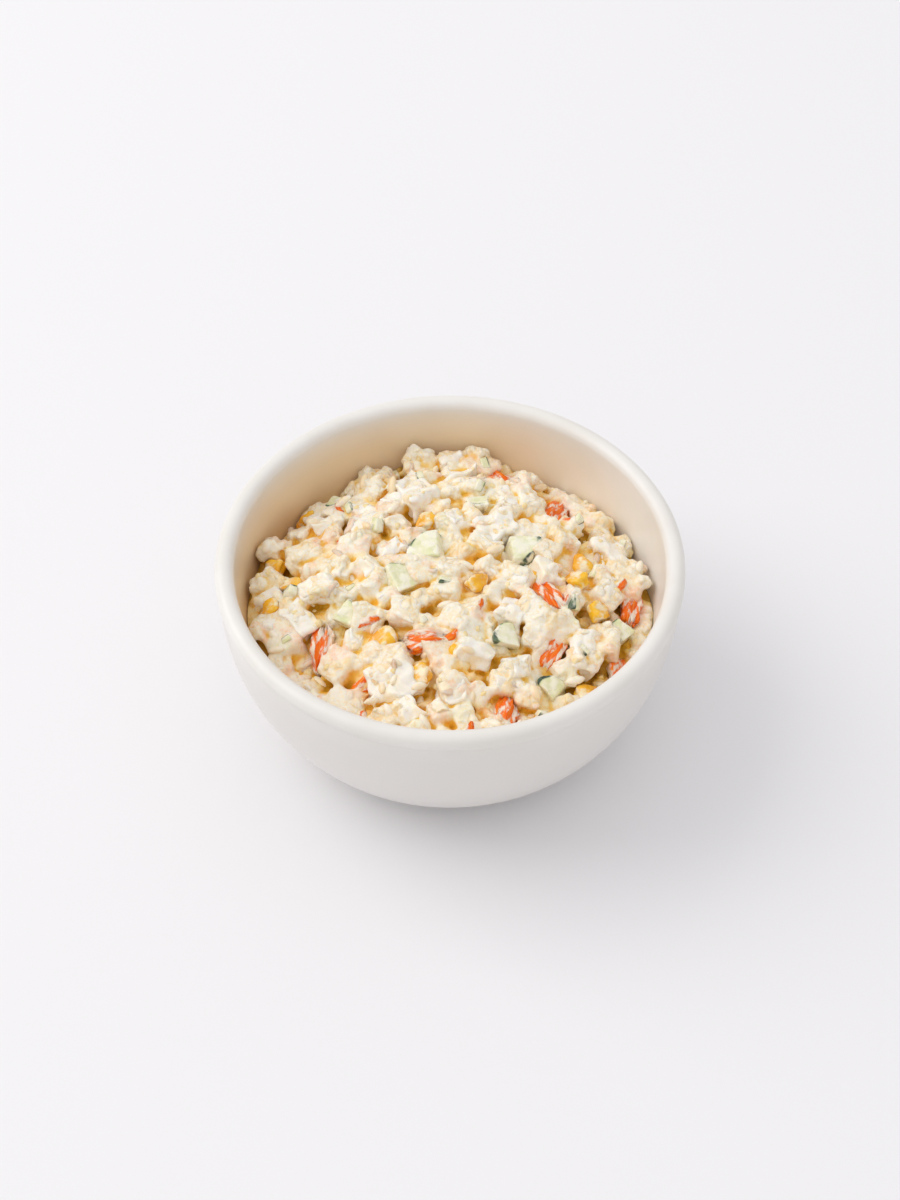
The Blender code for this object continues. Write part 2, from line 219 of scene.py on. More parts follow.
class BareClay(Finish):
    """The foot ring, wiped clean of glaze before firing: dry, matt, sandy clay."""

    title = "Bare fired clay"

    def __init__(self) -> None:
        """Mix the clay with its fine sand."""
        super().__init__()
        sand = self.cloud(0.7, 3.0, 0.7)
        colour = self.over(self.ramp(sand, 0.35, 0.7), "#D9C8AE", "#C3AD8F")
        self.dress(Base_Color=colour, Roughness=0.85, Normal=self.relief(sand, 0.12, 0.5))


class MoistFood(Finish):
    """What the salad's finishes share: light that soaks in, a wet surface, and the mayonnaise film."""

    def soak(self, weight: float, reach: float,
             red: float = 1.0, green: float = 0.75, blue: float = 0.42) -> None:
        """Let light soak in by a reach in millimetres, furthest in red."""
        self.dress(Subsurface_Weight=weight, Subsurface_Radius=(red, green, blue),
                   Subsurface_Scale=reach * MM)

    def film(self, colour: Colour, cover: float, patch: float,
             tone: str) -> tuple[bpy.types.NodeSocket, bpy.types.NodeSocket]:
        """Lay a broken film of mayonnaise over a colour.

        Args:
            colour: the bare food's colour.
            cover: the share of the surface that the film hides, from 0 to 1.
            patch: the width of its patches in millimetres.
            tone: the film's own colour, which takes a little from the food.

        Returns:
            The new colour, and how thick the film is.
        """
        patches = self.cloud(patch, 3.0, 0.5)
        middle = 0.66 - 0.32 * cover
        thick = self.ramp(patches, middle - 0.09, middle + 0.09)
        return self.over(thick, colour, tone), thick


class DressedRice(MoistFood):
    """Rice and chopped egg bound with mayonnaise: cream on the tops, with painted warm shade in the gaps,
    partly the oil that gathers there.
    """

    title = "Rice and egg in mayonnaise"

    def __init__(self) -> None:
        """Mix the tints of the pieces under the dressing, the painted warm shade in the folds and the painted
        shadow in the deep gaps.
        """
        super().__init__()
        tint = add_node(self.tree, "ShaderNodeAttribute", attribute_name="tint").outputs["Color"]
        mottle = self.ramp(self.cloud(2.4, 3.0, 0.6), 0.33, 0.62)
        colour = self.over(self.product(mottle, 0.6), tint, "#FFF8EA")
        speckle = self.ramp(self.cloud(1.1, 2.0, 0.5), 0.5, 0.7, 0.0, 0.5)
        colour = self.over(speckle, colour, "#FFE9BC", Blend.MULTIPLY)
        packed = self.cells(3.1)
        crumbly = self.ramp(self.cloud(8.0, 2.0), 0.44, 0.58)
        # Painted shade in the seams between the packed grains, where the crumb is loose.
        seam_shade = self.product(self.ramp(packed, 0.0, 0.12, 0.4, 0.0), crumbly)
        colour = self.over(seam_shade, colour, "#F9DC8E", Blend.MULTIPLY)
        gap = self.mark("gap")
        self.dress(
            Base_Color=self.shaded_hollows(colour, gap),
            Roughness=self.ramp(gap, 0.1, 0.7, 0.42, 0.7),
            Specular_IOR_Level=0.25,
            Normal=self.lumpy(self.product(self.ramp(packed, 0.0, 0.24), crumbly)),
        )
        self.soak(0.35, 0.7, 1.0, 0.88, 0.6)

    def shaded_hollows(self, colour: bpy.types.NodeSocket, gap: bpy.types.NodeSocket) -> bpy.types.NodeSocket:
        """Return the colour with painted warm shade in the folds and gaps, partly oil and yolk, and painted
        shadow deepest in the gaps.
        """
        # Painted shade: folds and gaps are darker and warmer, standing in for shade and warm light bounced in
        # the hollows, partly the oily dressing there.
        folds = self.ramp(self.mark("fold"), 0.56, 0.95, 0.0, 0.9)
        colour = self.over(folds, colour, "#F6D350", Blend.MULTIPLY)
        colour = self.over(self.ramp(gap, 0.12, 0.5, 0.0, 0.75), colour, "#FFF0B8", Blend.MULTIPLY)
        flecks = self.ramp(self.cloud(1.8, 3.0, 0.6), 0.38, 0.6, 0.3, 1.0)
        low = self.product(self.ramp(gap, 0.45, 0.85, 0.0, 0.8), flecks)
        colour = self.over(low, colour, "#F4DC4A", Blend.MULTIPLY)
        # Painted shadow on the floors of the deepest gaps.
        return self.over(self.ramp(gap, 0.62, 0.95, 0.0, 0.85), colour, "#B48208")

    def lumpy(self, packed: bpy.types.NodeSocket) -> bpy.types.NodeSocket:
        """Return the normal of packed grains, small lumps and fine crumb, one on another."""
        grains = self.relief(packed, 0.7, 0.5)
        lumps = self.relief(self.cloud(1.5, 3.0, 0.6), 0.5, 0.65, grains)
        return self.relief(self.cloud(0.6, 2.0, 0.5), 0.15, 0.6, lumps)


class CookedRice(MoistFood):
    """Loose grains of cooked rice: pale, half clear, glazed by the dressing."""

    title = "Cooked rice"

    def __init__(self) -> None:
        """Mix the grains: whiter cores, creamier skins."""
        super().__init__()
        colour = self.over(self.ramp(self.cloud(7.0, 2.0), 0.4, 0.62), "#FFF4E2", "#FBE3BC")
        self.dress(Base_Color=colour, Roughness=0.3, Normal=self.relief(self.cloud(0.9), 0.2, 0.4))
        self.soak(0.3, 0.5)


class EggWhite(MoistFood):
    """Boiled egg white, diced: smooth and dense, with a broken film of mayonnaise."""

    title = "Boiled egg white"

    def __init__(self) -> None:
        """Mix the white and its film."""
        super().__init__()
        white = self.over(self.ramp(self.cloud(9.0, 2.0), 0.4, 0.65), "#FFF6E8", "#FFEBCB")
        colour, thick = self.film(white, 0.5, 5.0, "#FFF8EC")
        smooth = self.relief(thick, 0.35, 0.5)
        self.dress(Base_Color=colour, Roughness=self.ramp(thick, 0.0, 1.0, 0.26, 0.38),
                   Normal=self.relief(self.cloud(0.8), 0.12, 0.45, smooth))
        self.soak(0.3, 0.7)


class CrabStick(MoistFood):
    """Crab stick: white fibrous flesh under an orange-red skin, streaked along its length."""

    title = "Crab stick"

    def __init__(self) -> None:
        """Mix flesh, skin and film, with fibres that follow each piece's own length."""
        super().__init__()
        fibres = self.drawn_out(0.12, 1.3, 3.0)
        flesh = self.over(self.ramp(fibres, 0.35, 0.65), "#FAEBDA", "#F8CFA8")
        skin = self.over(self.ramp(fibres, 0.45, 0.68), "#FF6E04", "#FFA034")
        frayed = self.ramp(fibres, 0.2, 0.8, -0.2, 0.2)
        torn = {0: self.mark("skin"), 1: frayed}
        edge = add_node(self.tree, "ShaderNodeMath", torn, operation="ADD").outputs[0]
        colour = self.over(self.ramp(edge, 0.35, 0.62), flesh, skin)
        thick = self.ramp(self.drawn_out(0.16, 0.42, 4.0), 0.47, 0.58)
        colour = self.over(thick, colour, "#FCEBDA")
        ridges = self.relief(fibres, 0.8, 0.8)
        self.dress(Base_Color=colour, Roughness=0.33, Specular_IOR_Level=0.25,
                   Normal=self.relief(thick, 0.3, 0.5, ridges))
        self.soak(0.15, 0.6)

    def drawn_out(self, along: float, across: float, detail: float) -> bpy.types.NodeSocket:
        """Return a noise with this many waves to a millimetre along and across the fibres."""
        fibre = add_node(self.tree, "ShaderNodeUVMap", uv_map="fibre").outputs["UV"]
        stretched = add_node(self.tree, "ShaderNodeMapping", {"Vector": fibre, "Scale": (along, across, 1.0)})
        return add_node(self.tree, "ShaderNodeTexNoise", {
            "Vector": stretched.outputs[0], "Scale": 1.0, "Detail": detail, "Roughness": 0.6}).outputs["Fac"]


class Cucumber(MoistFood):
    """Cucumber: wet pale green flesh, paler at the seeds, under a dark green skin."""

    title = "Cucumber"

    def __init__(self) -> None:
        """Mix flesh, rim, skin and film."""
        super().__init__()
        rim = self.mark("skin")
        blotch = self.ramp(self.cloud(3.2, 3.0), 0.36, 0.66)
        flesh = self.over(blotch, "#F3EED0", "#E2E3B2")
        flesh = self.over(self.ramp(rim, 0.75, 0.96), flesh, "#CDD59C")
        skin = self.over(blotch, "#33483C", "#6F8264")
        colour = self.over(self.ramp(rim, 0.86, 0.92), flesh, skin)
        colour, thick = self.film(colour, 0.45, 4.5, "#F8F4DF")
        self.dress(Base_Color=colour, Roughness=0.24, Normal=self.relief(thick, 0.35, 0.6))
        self.soak(0.3, 0.8, 0.9, 1.0, 0.5)


class SweetCorn(MoistFood):
    """Sweetcorn: tight glossy yellow skins over a darker orange root."""

    title = "Sweetcorn"

    def __init__(self) -> None:
        """Mix crown, root and film."""
        super().__init__()
        colour = self.over(self.mark("root"), "#FFC426", "#F3A81C")
        colour = self.over(self.ramp(self.cloud(2.2), 0.45, 0.7, 0.0, 0.4), colour, "#FBD978")
        colour, thick = self.film(colour, 0.38, 3.8, "#FDEBC8")
        self.dress(Base_Color=colour, Roughness=0.25, Normal=self.relief(thick, 0.3, 0.5))
        self.soak(0.25, 0.7, 1.0, 0.6, 0.2)


class EggYolk(MoistFood):
    """Crumbled boiled yolk: dry, mealy, warm yellow."""

    title = "Boiled egg yolk"

    def __init__(self) -> None:
        """Mix the meal."""
        super().__init__()
        meal = self.cloud(1.0, 3.0, 0.7)
        colour = self.over(self.ramp(meal, 0.35, 0.7), "#F8DD9C", "#FBEAC4")
        self.dress(Base_Color=colour, Roughness=0.6, Normal=self.relief(meal, 0.3, 0.6))
        self.soak(0.2, 0.4)


@dataclass(frozen=True)
class BowlForm:
    """The bowl's sizes in millimetres. Depths are measured down from the middle of the lip's bead."""

    radius: float = 80.0
    height: float = 73.0
    bead: float = 3.3
    inner_depth: float = 63.0
    outer_radius: float = 79.4
    outer_depth: float = 80.0
    set_in: float = 0.9
    set_in_depth: float = 2.9
    wall_power: float = 2.3
    belly_depth: float = 60.0
    belly_slope: float = 45.0
    under_slope: float = 6.0
    under_radius: float = 22.0
    foot_radius: float = 40.0
    foot_width: float = 4.5
    foot_height: float = 3.0
    foot_recess: float = 2.2

    @property
    def lip_height(self) -> float:
        """Return the height of the middle of the lip's bead."""
        return self.height - self.bead

    @property
    def lip_centre(self) -> float:
        """Return the radius of the middle of the lip's bead."""
        return self.radius - self.bead

    def wall(self, depth: float, radius: float, full_depth: float) -> float:
        """Return the radius of a round wall at a depth below its mouth."""
        share = min(max(depth / full_depth, 0.0), 1.0)
        return radius * (1.0 - share**self.wall_power) ** (1.0 / self.wall_power)

    def inner_wall(self, depth: float) -> float:
        """Return the inner wall's radius at a depth."""
        return self.wall(depth, self.lip_centre - self.bead, self.inner_depth)

    def outer_wall(self, depth: float) -> float:
        """Return the outer wall's radius at a depth, set in a little under the bead."""
        groove = self.set_in * math.exp(-(((depth - self.set_in_depth) / self.set_in_depth) ** 2))
        return self.wall(depth, self.outer_radius, self.outer_depth) - groove

    def inner_walls(self, heights: np.ndarray) -> np.ndarray:
        """Return the inner wall's radius at each of many heights."""
        share = np.clip((self.lip_height - heights) / self.inner_depth, 0.0, 1.0)
        return (self.lip_centre - self.bead) * (1.0 - share**self.wall_power) ** (1.0 / self.wall_power)


def spread(first: float, last: float, count: int) -> list[float]:
    """Return evenly spread values, with both ends."""
    return [first + (last - first) * step / (count - 1) for step in range(count)]


def rounded(shape: bmesh.types.BMesh, edges: list, radius: float, segments: int = 2) -> None:
    """Round edges of a bmesh by this radius."""
    bmesh.ops.bevel(shape, geom=edges, affect="EDGES", offset=radius, segments=segments,
                    profile=0.5, material=-1)


def finish_piece(mesh: bpy.types.Mesh, name: str, *finishes: Finish) -> bpy.types.Object:
    """Turn a mesh in millimetres to a piece in metres that rides on the body.

    Args:
        mesh: the mesh, in millimetres.
        name: the piece's name.
        finishes: its materials.

    Returns:
        The new object, at the origin.
    """
    mesh.transform(Matrix.Scale(MM, 4))
    mesh.shade_smooth()
    mesh.materials.clear()
    for finish in finishes:
        mesh.materials.append(finish.material)
    piece = bpy.data.objects.new(name, mesh)
    bpy.context.scene.collection.objects.link(piece)
    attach(piece, BODY)
    log.info("%s: %d faces", name, len(mesh.polygons))
    return piece


def applied(mesh: bpy.types.Mesh, *modifiers: tuple[str, dict]) -> bpy.types.Mesh:
    """Put a mesh through modifiers and return the result.

    Args:
        mesh: the mesh to start from, which is used up.
        modifiers: each one's type and settings.

    Returns:
        The new mesh.
    """
    holder = bpy.data.objects.new("holder", mesh)
    bpy.context.scene.collection.objects.link(holder)
    for kind, settings in modifiers:
        modifier = holder.modifiers.new(kind.title(), kind)
        for name, value in settings.items():
            setattr(modifier, name, value)
    graph = bpy.context.evaluated_depsgraph_get()
    result = bpy.data.meshes.new_from_object(holder.evaluated_get(graph))
    bpy.data.objects.remove(holder)
    bpy.data.meshes.remove(mesh)
    return result


def clouds(size: float) -> bpy.types.Texture:
    """Return a cloud texture this many millimetres wide, for a Displace modifier."""
    made = bpy.data.textures.new("Lumps", "CLOUDS")
    made.noise_scale = size
    made.noise_depth = 2
    return made


@dataclass
class Bowl:
    """The glazed bowl: one wall turned from the frame's own section, drawn finely."""

    form: BowlForm
    turns: int = 180
    bottom_share: float = 0.999
    wall_points: int = 26
    lip_points: int = 20
    under_points: int = 9
    foot_edge: float = 0.5
    corner_angle: float = 30.0
    hand_wobble: float = 0.14
    wobble_size: float = 30.0
    bare_below: float = 0.7
    shade_depth: float = 12.0
    shade_power: float = 0.7
    lit_side_share: float = 0.95
    lit_side_from: float = 0.33
    shadow_side_share: float = 0.6
    shadow_side_from: float = 0.3
    shade_reach: float = 50.0
    lip_ease: float = 0.12

    def section(self) -> list[tuple[float, float]]:
        """Return the half section as (radius, height), from the inner bottom over the lip to the foot."""
        form = self.form
        points = [(0.0, form.lip_height - form.inner_depth)]
        deepest, highest = math.asin(self.bottom_share), math.asin(form.bead * 0.4 / form.inner_depth)
        for turn in spread(deepest, highest, self.wall_points):
            depth = form.inner_depth * math.sin(turn)
            points.append((form.inner_wall(depth), form.lip_height - depth))
        for turn in spread(math.pi, -0.25 * math.pi, self.lip_points):
            points.append((form.lip_centre + form.bead * math.cos(turn),
                           form.lip_height + (form.bead - self.lip_ease) * math.sin(turn)))
        first, last = form.set_in_depth * 1.1, form.belly_depth
        under_lip, at_belly = math.asin(first / form.outer_depth), math.asin(last / form.outer_depth)
        for turn in spread(under_lip, at_belly, self.wall_points):
            depth = form.outer_depth * math.sin(turn)
            points.append((form.outer_wall(depth), form.lip_height - depth))
        belly_radius, belly_height = points[-1]
        belly_turn = math.radians(form.belly_slope)
        for turn in spread(belly_turn, math.radians(form.under_slope), self.under_points)[1:]:
            points.append((belly_radius - form.under_radius * (math.sin(belly_turn) - math.sin(turn)),
                           belly_height - form.under_radius * (math.cos(turn) - math.cos(belly_turn))))
        ring = form.foot_radius - form.foot_width
        points.append((form.foot_radius + form.foot_height * 0.2, form.foot_height))
        points.append((form.foot_radius, 0.0))
        points.append((ring, 0.0))
        points.append((ring - form.foot_recess * 0.5, form.foot_recess))
        points.append((0.0, form.foot_recess))
        return points

    def paint_shade(self, mesh: bpy.types.Mesh) -> None:
        """Store the painted shade of the glaze: none on the lip, more down the inside as painted warm shade
        and light bounced from the salad, below 0 outside as painted shade low on the outer wall.

        It is lighter on the right, the lit side, and past 1 low on the left, as a painted shadow on the
        shaded wall beside the salad.

        Args:
            mesh: the bowl's mesh, in millimetres.
        """
        form = self.form
        points = points_of(mesh)
        level = np.hypot(points[:, 0], points[:, 1])
        inside = level < form.inner_walls(points[:, 2]) + form.bead
        inside &= points[:, 2] > form.height - form.inner_depth - form.bead - 1.0
        depth = np.clip((form.lip_height - points[:, 2]) / self.shade_depth, 0.0, 1.0)
        # The right side is lightened as painted light, and the low left side is darkened as painted shadow.
        thin = 1.0 - self.lit_side_share * np.clip(points[:, 0] / self.shade_reach - self.lit_side_from, 0.0, 1.0)
        low = np.clip((form.lip_height - points[:, 2]) / self.shade_depth - 1.0, 0.0, 1.0)
        thick = self.shadow_side_share * low * np.clip(-points[:, 0] / self.shade_reach - self.shadow_side_from, 0.0, 1.0)
        painted_shade = np.where(inside, depth**self.shade_power * thin + thick, -depth)
        mesh.attributes.new("painted_shade", "FLOAT", "POINT").data.foreach_set("value", painted_shade.astype(np.float32))

    def build(self, glaze: Finish, clay: Finish) -> bpy.types.Object:
        """Turn the section, soften the foot's corners and part the bare clay from the glaze.

        Args:
            glaze: the glaze.
            clay: the bare clay under the foot.

        Returns:
            The bowl's object.
        """
        shape = bmesh.new()
        points = [shape.verts.new((radius, 0.0, height)) for radius, height in self.section()]
        edges = [shape.edges.new(pair) for pair in zip(points, points[1:])]
        bmesh.ops.spin(shape, geom=points + edges, cent=(0.0, 0.0, 0.0), axis=(0.0, 0.0, 1.0),
                       angle=2.0 * math.pi, steps=self.turns, use_merge=True, use_duplicate=False)
        bmesh.ops.remove_doubles(shape, verts=shape.verts[:], dist=0.001)
        bmesh.ops.recalc_face_normals(shape, faces=shape.faces[:])
        corners = [edge for edge in shape.edges
                   if len(edge.link_faces) == 2 and edge.calc_face_angle() > math.radians(self.corner_angle)]
        rounded(shape, corners, self.foot_edge, 3)
        for vertex in shape.verts:
            wobble = noise.noise(vertex.co / self.wobble_size) * self.hand_wobble
            level = math.hypot(vertex.co.x, vertex.co.y)
            if vertex.co.z > self.form.foot_height and level > 1.0:
                shrink = 1.0 - (self.hand_wobble - wobble) / self.form.radius
                vertex.co.x *= shrink
                vertex.co.y *= shrink
        for face in shape.faces:
            if face.calc_center_median().z < self.bare_below and face.normal.z < 0.5:
                face.material_index = 1
        mesh = bpy.data.meshes.new("bowl")
        shape.to_mesh(mesh)
        shape.free()
        self.paint_shade(mesh)
        piece = finish_piece(mesh, "glazed_bowl", glaze, clay)
        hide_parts("bowl")
        return piece


@dataclass(frozen=True)
class Place:
    """Where one piece lies on the heap, seen from above: millimetres, degrees, and its size or length."""

    x: float
    y: float
    turn: float
    size: float
    lean: float
    roll: float
    sink: float


@dataclass(frozen=True)
class HeapForm:
    """The heap's surface, as the frame's core has it, in millimetres."""

    bowl: BowlForm
    gap: float = 0.3
    edge_depth: float = 23.8
    edge_wave: float = 3.0
    edge_waves: int = 4
    crown_height: float = 61.0
    crown_power: float = 2.2
    lump: float = 1.6
    lump_spacing: float = 13.0
    clearance: float = 0.4
    top: float = 65.5
    # Where the loose salad stands higher or lower than the frame's core: right, away, rise and reach.
    humps: tuple = ((-7, 50, -3.2, 17), (31, 46, 2.4, 12), (63, 12, -3.5, 15), (-62, 6, -2.0, 13))

    def depth_at_edge(self, angle: float) -> float:
        """Return the depth at which the heap leaves the wall, in one direction."""
        return self.edge_depth - self.edge_wave * math.cos(self.edge_waves * angle)

    def height(self, x: float, y: float) -> float:
        """Return the height of the heap over a point."""
        depth = self.depth_at_edge(math.atan2(y, x))
        edge = self.bowl.inner_wall(depth) - self.gap
        share = min(math.hypot(x, y) / edge, 1.0)
        low = self.bowl.lip_height - depth
        crown = low + (self.crown_height - low) * (1.0 - share**self.crown_power)
        lump = noise.noise(Vector((x, y, 0.0)) / self.lump_spacing) * 2.0 * self.lump
        hump = sum(rise * math.exp(-((x - right) ** 2 + (y - away) ** 2) / reach**2)
                   for right, away, rise, reach in self.humps)
        return crown + lump * (1.0 - share**6) + hump

    def normal(self, x: float, y: float) -> Vector:
        """Return the heap's own upward direction at a point."""
        reach = 2.0
        slope_x = (self.height(x + reach, y) - self.height(x - reach, y)) / (2.0 * reach)
        slope_y = (self.height(x, y + reach) - self.height(x, y - reach)) / (2.0 * reach)
        return Vector((-slope_x, -slope_y, 1.0)).normalized()

    def seat(self, place: Place, half_height: float) -> Matrix:
        """Return the matrix that lays a piece of this half height at its place."""
        normal = self.normal(place.x, place.y)
        stand = normal.to_track_quat("Z", "Y").to_matrix()
        spin = Matrix.Rotation(math.radians(place.turn), 3, "Z")
        lean = Matrix.Rotation(math.radians(place.lean), 3, "X")
        tip = lean @ Matrix.Rotation(math.radians(place.roll), 3, "Y")
        middle = Vector((place.x, place.y, self.height(place.x, place.y)))
        middle += normal * half_height * (1.0 - 2.0 * place.sink)
        return Matrix.Translation(middle) @ (stand @ spin @ tip).to_4x4()

    def kept_inside(self, points: np.ndarray) -> np.ndarray:
        """Return a piece's points moved off the bowl's wall and down to the heap's top height."""
        rounds, spare = 8, 0.1
        for _ in range(rounds):
            level = np.hypot(points[:, 0], points[:, 1])
            room = self.bowl.inner_walls(points[:, 2]) - level - self.clearance
            tight = int(np.argmin(room))
            if room[tight] >= 0.0:
                break
            outward = points[tight, :2] / level[tight]
            points[:, :2] += outward * (room[tight] - spare)
        over = points[:, 2].max() - self.top
        if over > 0.0:
            points[:, 2] -= over
        return points

    def lay(self, shape: "Shape", place: Place, half_height: float) -> "Shape":
        """Return a shape of this half height at its place, clear of the wall."""
        there = shape.placed(self.seat(place, half_height))
        there.points = self.kept_inside(there.points)
        return there


class Kind(Enum):
    """The kinds of piece that lie on the heap, in the order in which they are laid."""

    EGG = "egg"
    CRAB = "crab"
    CUCUMBER = "cucumber"
    CORN = "corn"
    DICE = "dice"


@dataclass
class Layout:
    """Where the pieces of the heap lie: the frame's own places, drawn again in the same order."""

    form: HeapForm
    seed: int = 41
    dice_size: float = 8.6
    dice_count: int = 110
    dice_spacing: float = 7.4
    kernel_length: float = 8.0
    # Right, away, turn and length of each piece that stands out.
    crab: tuple = (
        (37, 39, -60, 19), (-42, 22, 5, 12), (-28, -42, 65, 13), (-43, -25, -45, 12), (33, -6, -30, 12),
        (62, -4, -30, 12), (34, -28, 15, 10), (-9, -27, 60, 11), (18, -53, 10, 12), (57, -30, 40, 9),
        (18, 56, 5, 11),
    )
    cucumber: tuple = (
        (-7, 13, 10, 15), (-17, -1, -25, 15), (-35, -14, -70, 11), (24, 14, 20, 14), (10, 37, -20, 10),
        (19, -25, -15, 12), (58, -16, 20, 10), (34, -41, -65, 11), (-40, 46, -20, 8),
    )
    corn: tuple = (
        (-51, 41, -25), (-8, 26, 10), (9, -2, -15), (-22, -25, -55), (43, 0, -15), (50, -11, -40),
        (-61, -7, -75), (-60, 13, -35), (-54, 2, -60), (45, 10, 0), (-9, -40, -30), (45, -40, -10),
        (3, -31, -40),
    )
    egg: tuple = (
        (-28, 28, 15, 15), (-13, 43, -40, 17), (15, 24, 50, 14), (20, 39, -40, 12), (3, 55, 10, 13),
        (54, 20, 30, 12), (33, 3, 15, 10), (-44, -3, 70, 11), (-44, 32, -20, 11), (-19, -41, 55, 17),
        (-61, -2, -30, 9), (21, -15, 5, 12), (8, -32, 40, 12), (44, -26, 40, 14), (-50, -14, 10, 11),
        (-14, -53, 25, 12), (-20, 14, 20, 10), (-46, 44, -50, 14),
    )
    places: dict = field(default_factory=dict)

    def __post_init__(self) -> None:
        """Draw every place."""
        draw = random.Random(self.seed)
        spots: list[tuple[float, float]] = []
        corn = tuple((*at, self.kernel_length) for at in self.corn)
        named = ((Kind.EGG, self.egg, 0.3, 12.0), (Kind.CRAB, self.crab, 0.25, 12.0),
                 (Kind.CUCUMBER, self.cucumber, 0.3, 12.0), (Kind.CORN, corn, 0.25, 25.0))
        for kind, rows, sink, tilt in named:
            self.places[kind] = []
            for x, y, turn, length in rows:
                lean, roll = draw.uniform(-tilt, tilt), draw.uniform(-tilt, tilt)
                self.places[kind].append(Place(x, y, turn, length, lean, roll, sink))
                spots.append((x, y))
        reach = self.form.bowl.inner_wall(self.form.edge_depth) - self.dice_size * 0.4
        sizes, sink, tilt = (0.75, 1.3), 0.3, 25.0
        self.places[Kind.DICE] = []
        for _ in range(self.dice_count):
            spot = self.free_spot(draw, spots, self.dice_spacing, reach)
            if spot is None:
                continue
            turn, size = draw.uniform(0.0, 360.0), draw.uniform(*sizes)
            lean, roll = draw.uniform(-tilt, tilt), draw.uniform(-tilt, tilt)
            self.places[Kind.DICE].append(Place(*spot, turn, size, lean, roll, sink))
            spots.append(spot)

    @staticmethod
    def free_spot(draw: random.Random, spots: list, spacing: float,
                  reach: float) -> tuple[float, float] | None:
        """Return a random spot at least this far from every other, or None."""
        for _ in range(60):
            radius = reach * math.sqrt(draw.random())
            angle = draw.uniform(0.0, 2.0 * math.pi)
            x, y = radius * math.cos(angle), radius * math.sin(angle)
            if all(math.hypot(x - a, y - b) > spacing for a, b in spots):
                return x, y
        return None


@dataclass
class Shape:
    """One closed shape as arrays: its points, its triangles and the values that its points carry."""

    points: np.ndarray
    faces: np.ndarray
    marks: dict[str, np.ndarray] = field(default_factory=dict)

    @classmethod
    def of(cls, shape: bmesh.types.BMesh, **marks: np.ndarray) -> "Shape":
        """Return a bmesh as arrays, and free it."""
        bmesh.ops.triangulate(shape, faces=shape.faces[:])
        points = np.array([vertex.co for vertex in shape.verts])
        shape.verts.index_update()
        faces = np.array([[vertex.index for vertex in face.verts] for face in shape.faces])
        shape.free()
        return cls(points, faces, marks)

    def placed(self, matrix: Matrix) -> "Shape":
        """Return a copy moved by a matrix."""
        turn = np.array(matrix.to_3x3())
        return Shape(self.points @ turn.T + np.array(matrix.translation), self.faces, self.marks)


def merged(shapes: Sequence[Shape]) -> tuple[np.ndarray, np.ndarray]:
    """Return the points and the triangles of many shapes as those of one."""
    starts = np.cumsum([0] + [len(shape.points) for shape in shapes[:-1]])
    faces = [shape.faces + start for shape, start in zip(shapes, starts)]
    return np.concatenate([shape.points for shape in shapes]), np.concatenate(faces)


def joined(name: str, shapes: Sequence[Shape]) -> bpy.types.Mesh:
    """Join shapes into one mesh, with their marks as point attributes.

    Args:
        name: the mesh's name.
        shapes: the shapes, which all carry the same marks.

    Returns:
        The mesh, in millimetres.
    """
    points, faces = merged(shapes)
    mesh = bpy.data.meshes.new(name)
    mesh.from_pydata(points.tolist(), [], faces.tolist())
    for mark in shapes[0].marks:
        values = np.concatenate([shape.marks[mark] for shape in shapes]).astype(np.float32)
        if values.ndim == 1:
            mesh.attributes.new(mark, "FLOAT", "POINT").data.foreach_set("value", values)
        else:
            corners = np.empty(len(mesh.loops), np.int32)
            mesh.loops.foreach_get("vertex_index", corners)
            layer = mesh.uv_layers.new(name=mark)
            layer.uv.foreach_set("vector", values[corners].reshape(-1))
    return mesh


def grown(shape: Shape, share: float) -> Shape:
    """Return a shape made larger about its middle."""
    middle = shape.points.mean(axis=0)
    return Shape((shape.points - middle) * share + middle, shape.faces)


def drift(spot: Vector) -> Vector:
    """Return a smooth noise in all three directions, the same in every run."""
    return Vector((noise.noise(spot), noise.noise(spot.yzx + Vector((9.3, 0.0, 0.0))),
                   noise.noise(spot.zxy + Vector((0.0, 7.1, 0.0)))))


def roughened(points: np.ndarray, size: float, depth: float, seed: float) -> np.ndarray:
    """Return points pushed about by a smooth noise of this size and depth, in millimetres."""
    shift = Vector((seed * 7.31, seed * 3.17, seed * 5.73))
    return np.array([Vector(point) + drift(Vector(point) / size + shift) * depth for point in points])


def cut_block(draw: random.Random, size: tuple[float, float, float], edge: float, cuts: int) -> Shape:
    """Return a diced block: uneven corners, rounded edges and faces fine enough to be roughened.

    Args:
        draw: the random stream.
        size: length, width and height in millimetres.
        edge: radius of its edges.
        cuts: how often each face is cut.

    Returns:
        The block.
    """
    sideways, upward = (0.62, 1.1), (0.7, 1.08)
    shape = bmesh.new()
    bmesh.ops.create_cube(shape, size=1.0)
    for vertex in shape.verts:
        vertex.co = [part * full * draw.uniform(*cut)
                     for part, full, cut in zip(vertex.co, size, (sideways, sideways, upward))]
    rounded(shape, shape.edges[:], edge)
    long_edges = [side for side in shape.edges if side.calc_length() > edge * 1.6]
    bmesh.ops.subdivide_edges(shape, edges=long_edges, cuts=cuts, use_grid_fill=True)
    return Shape.of(shape)


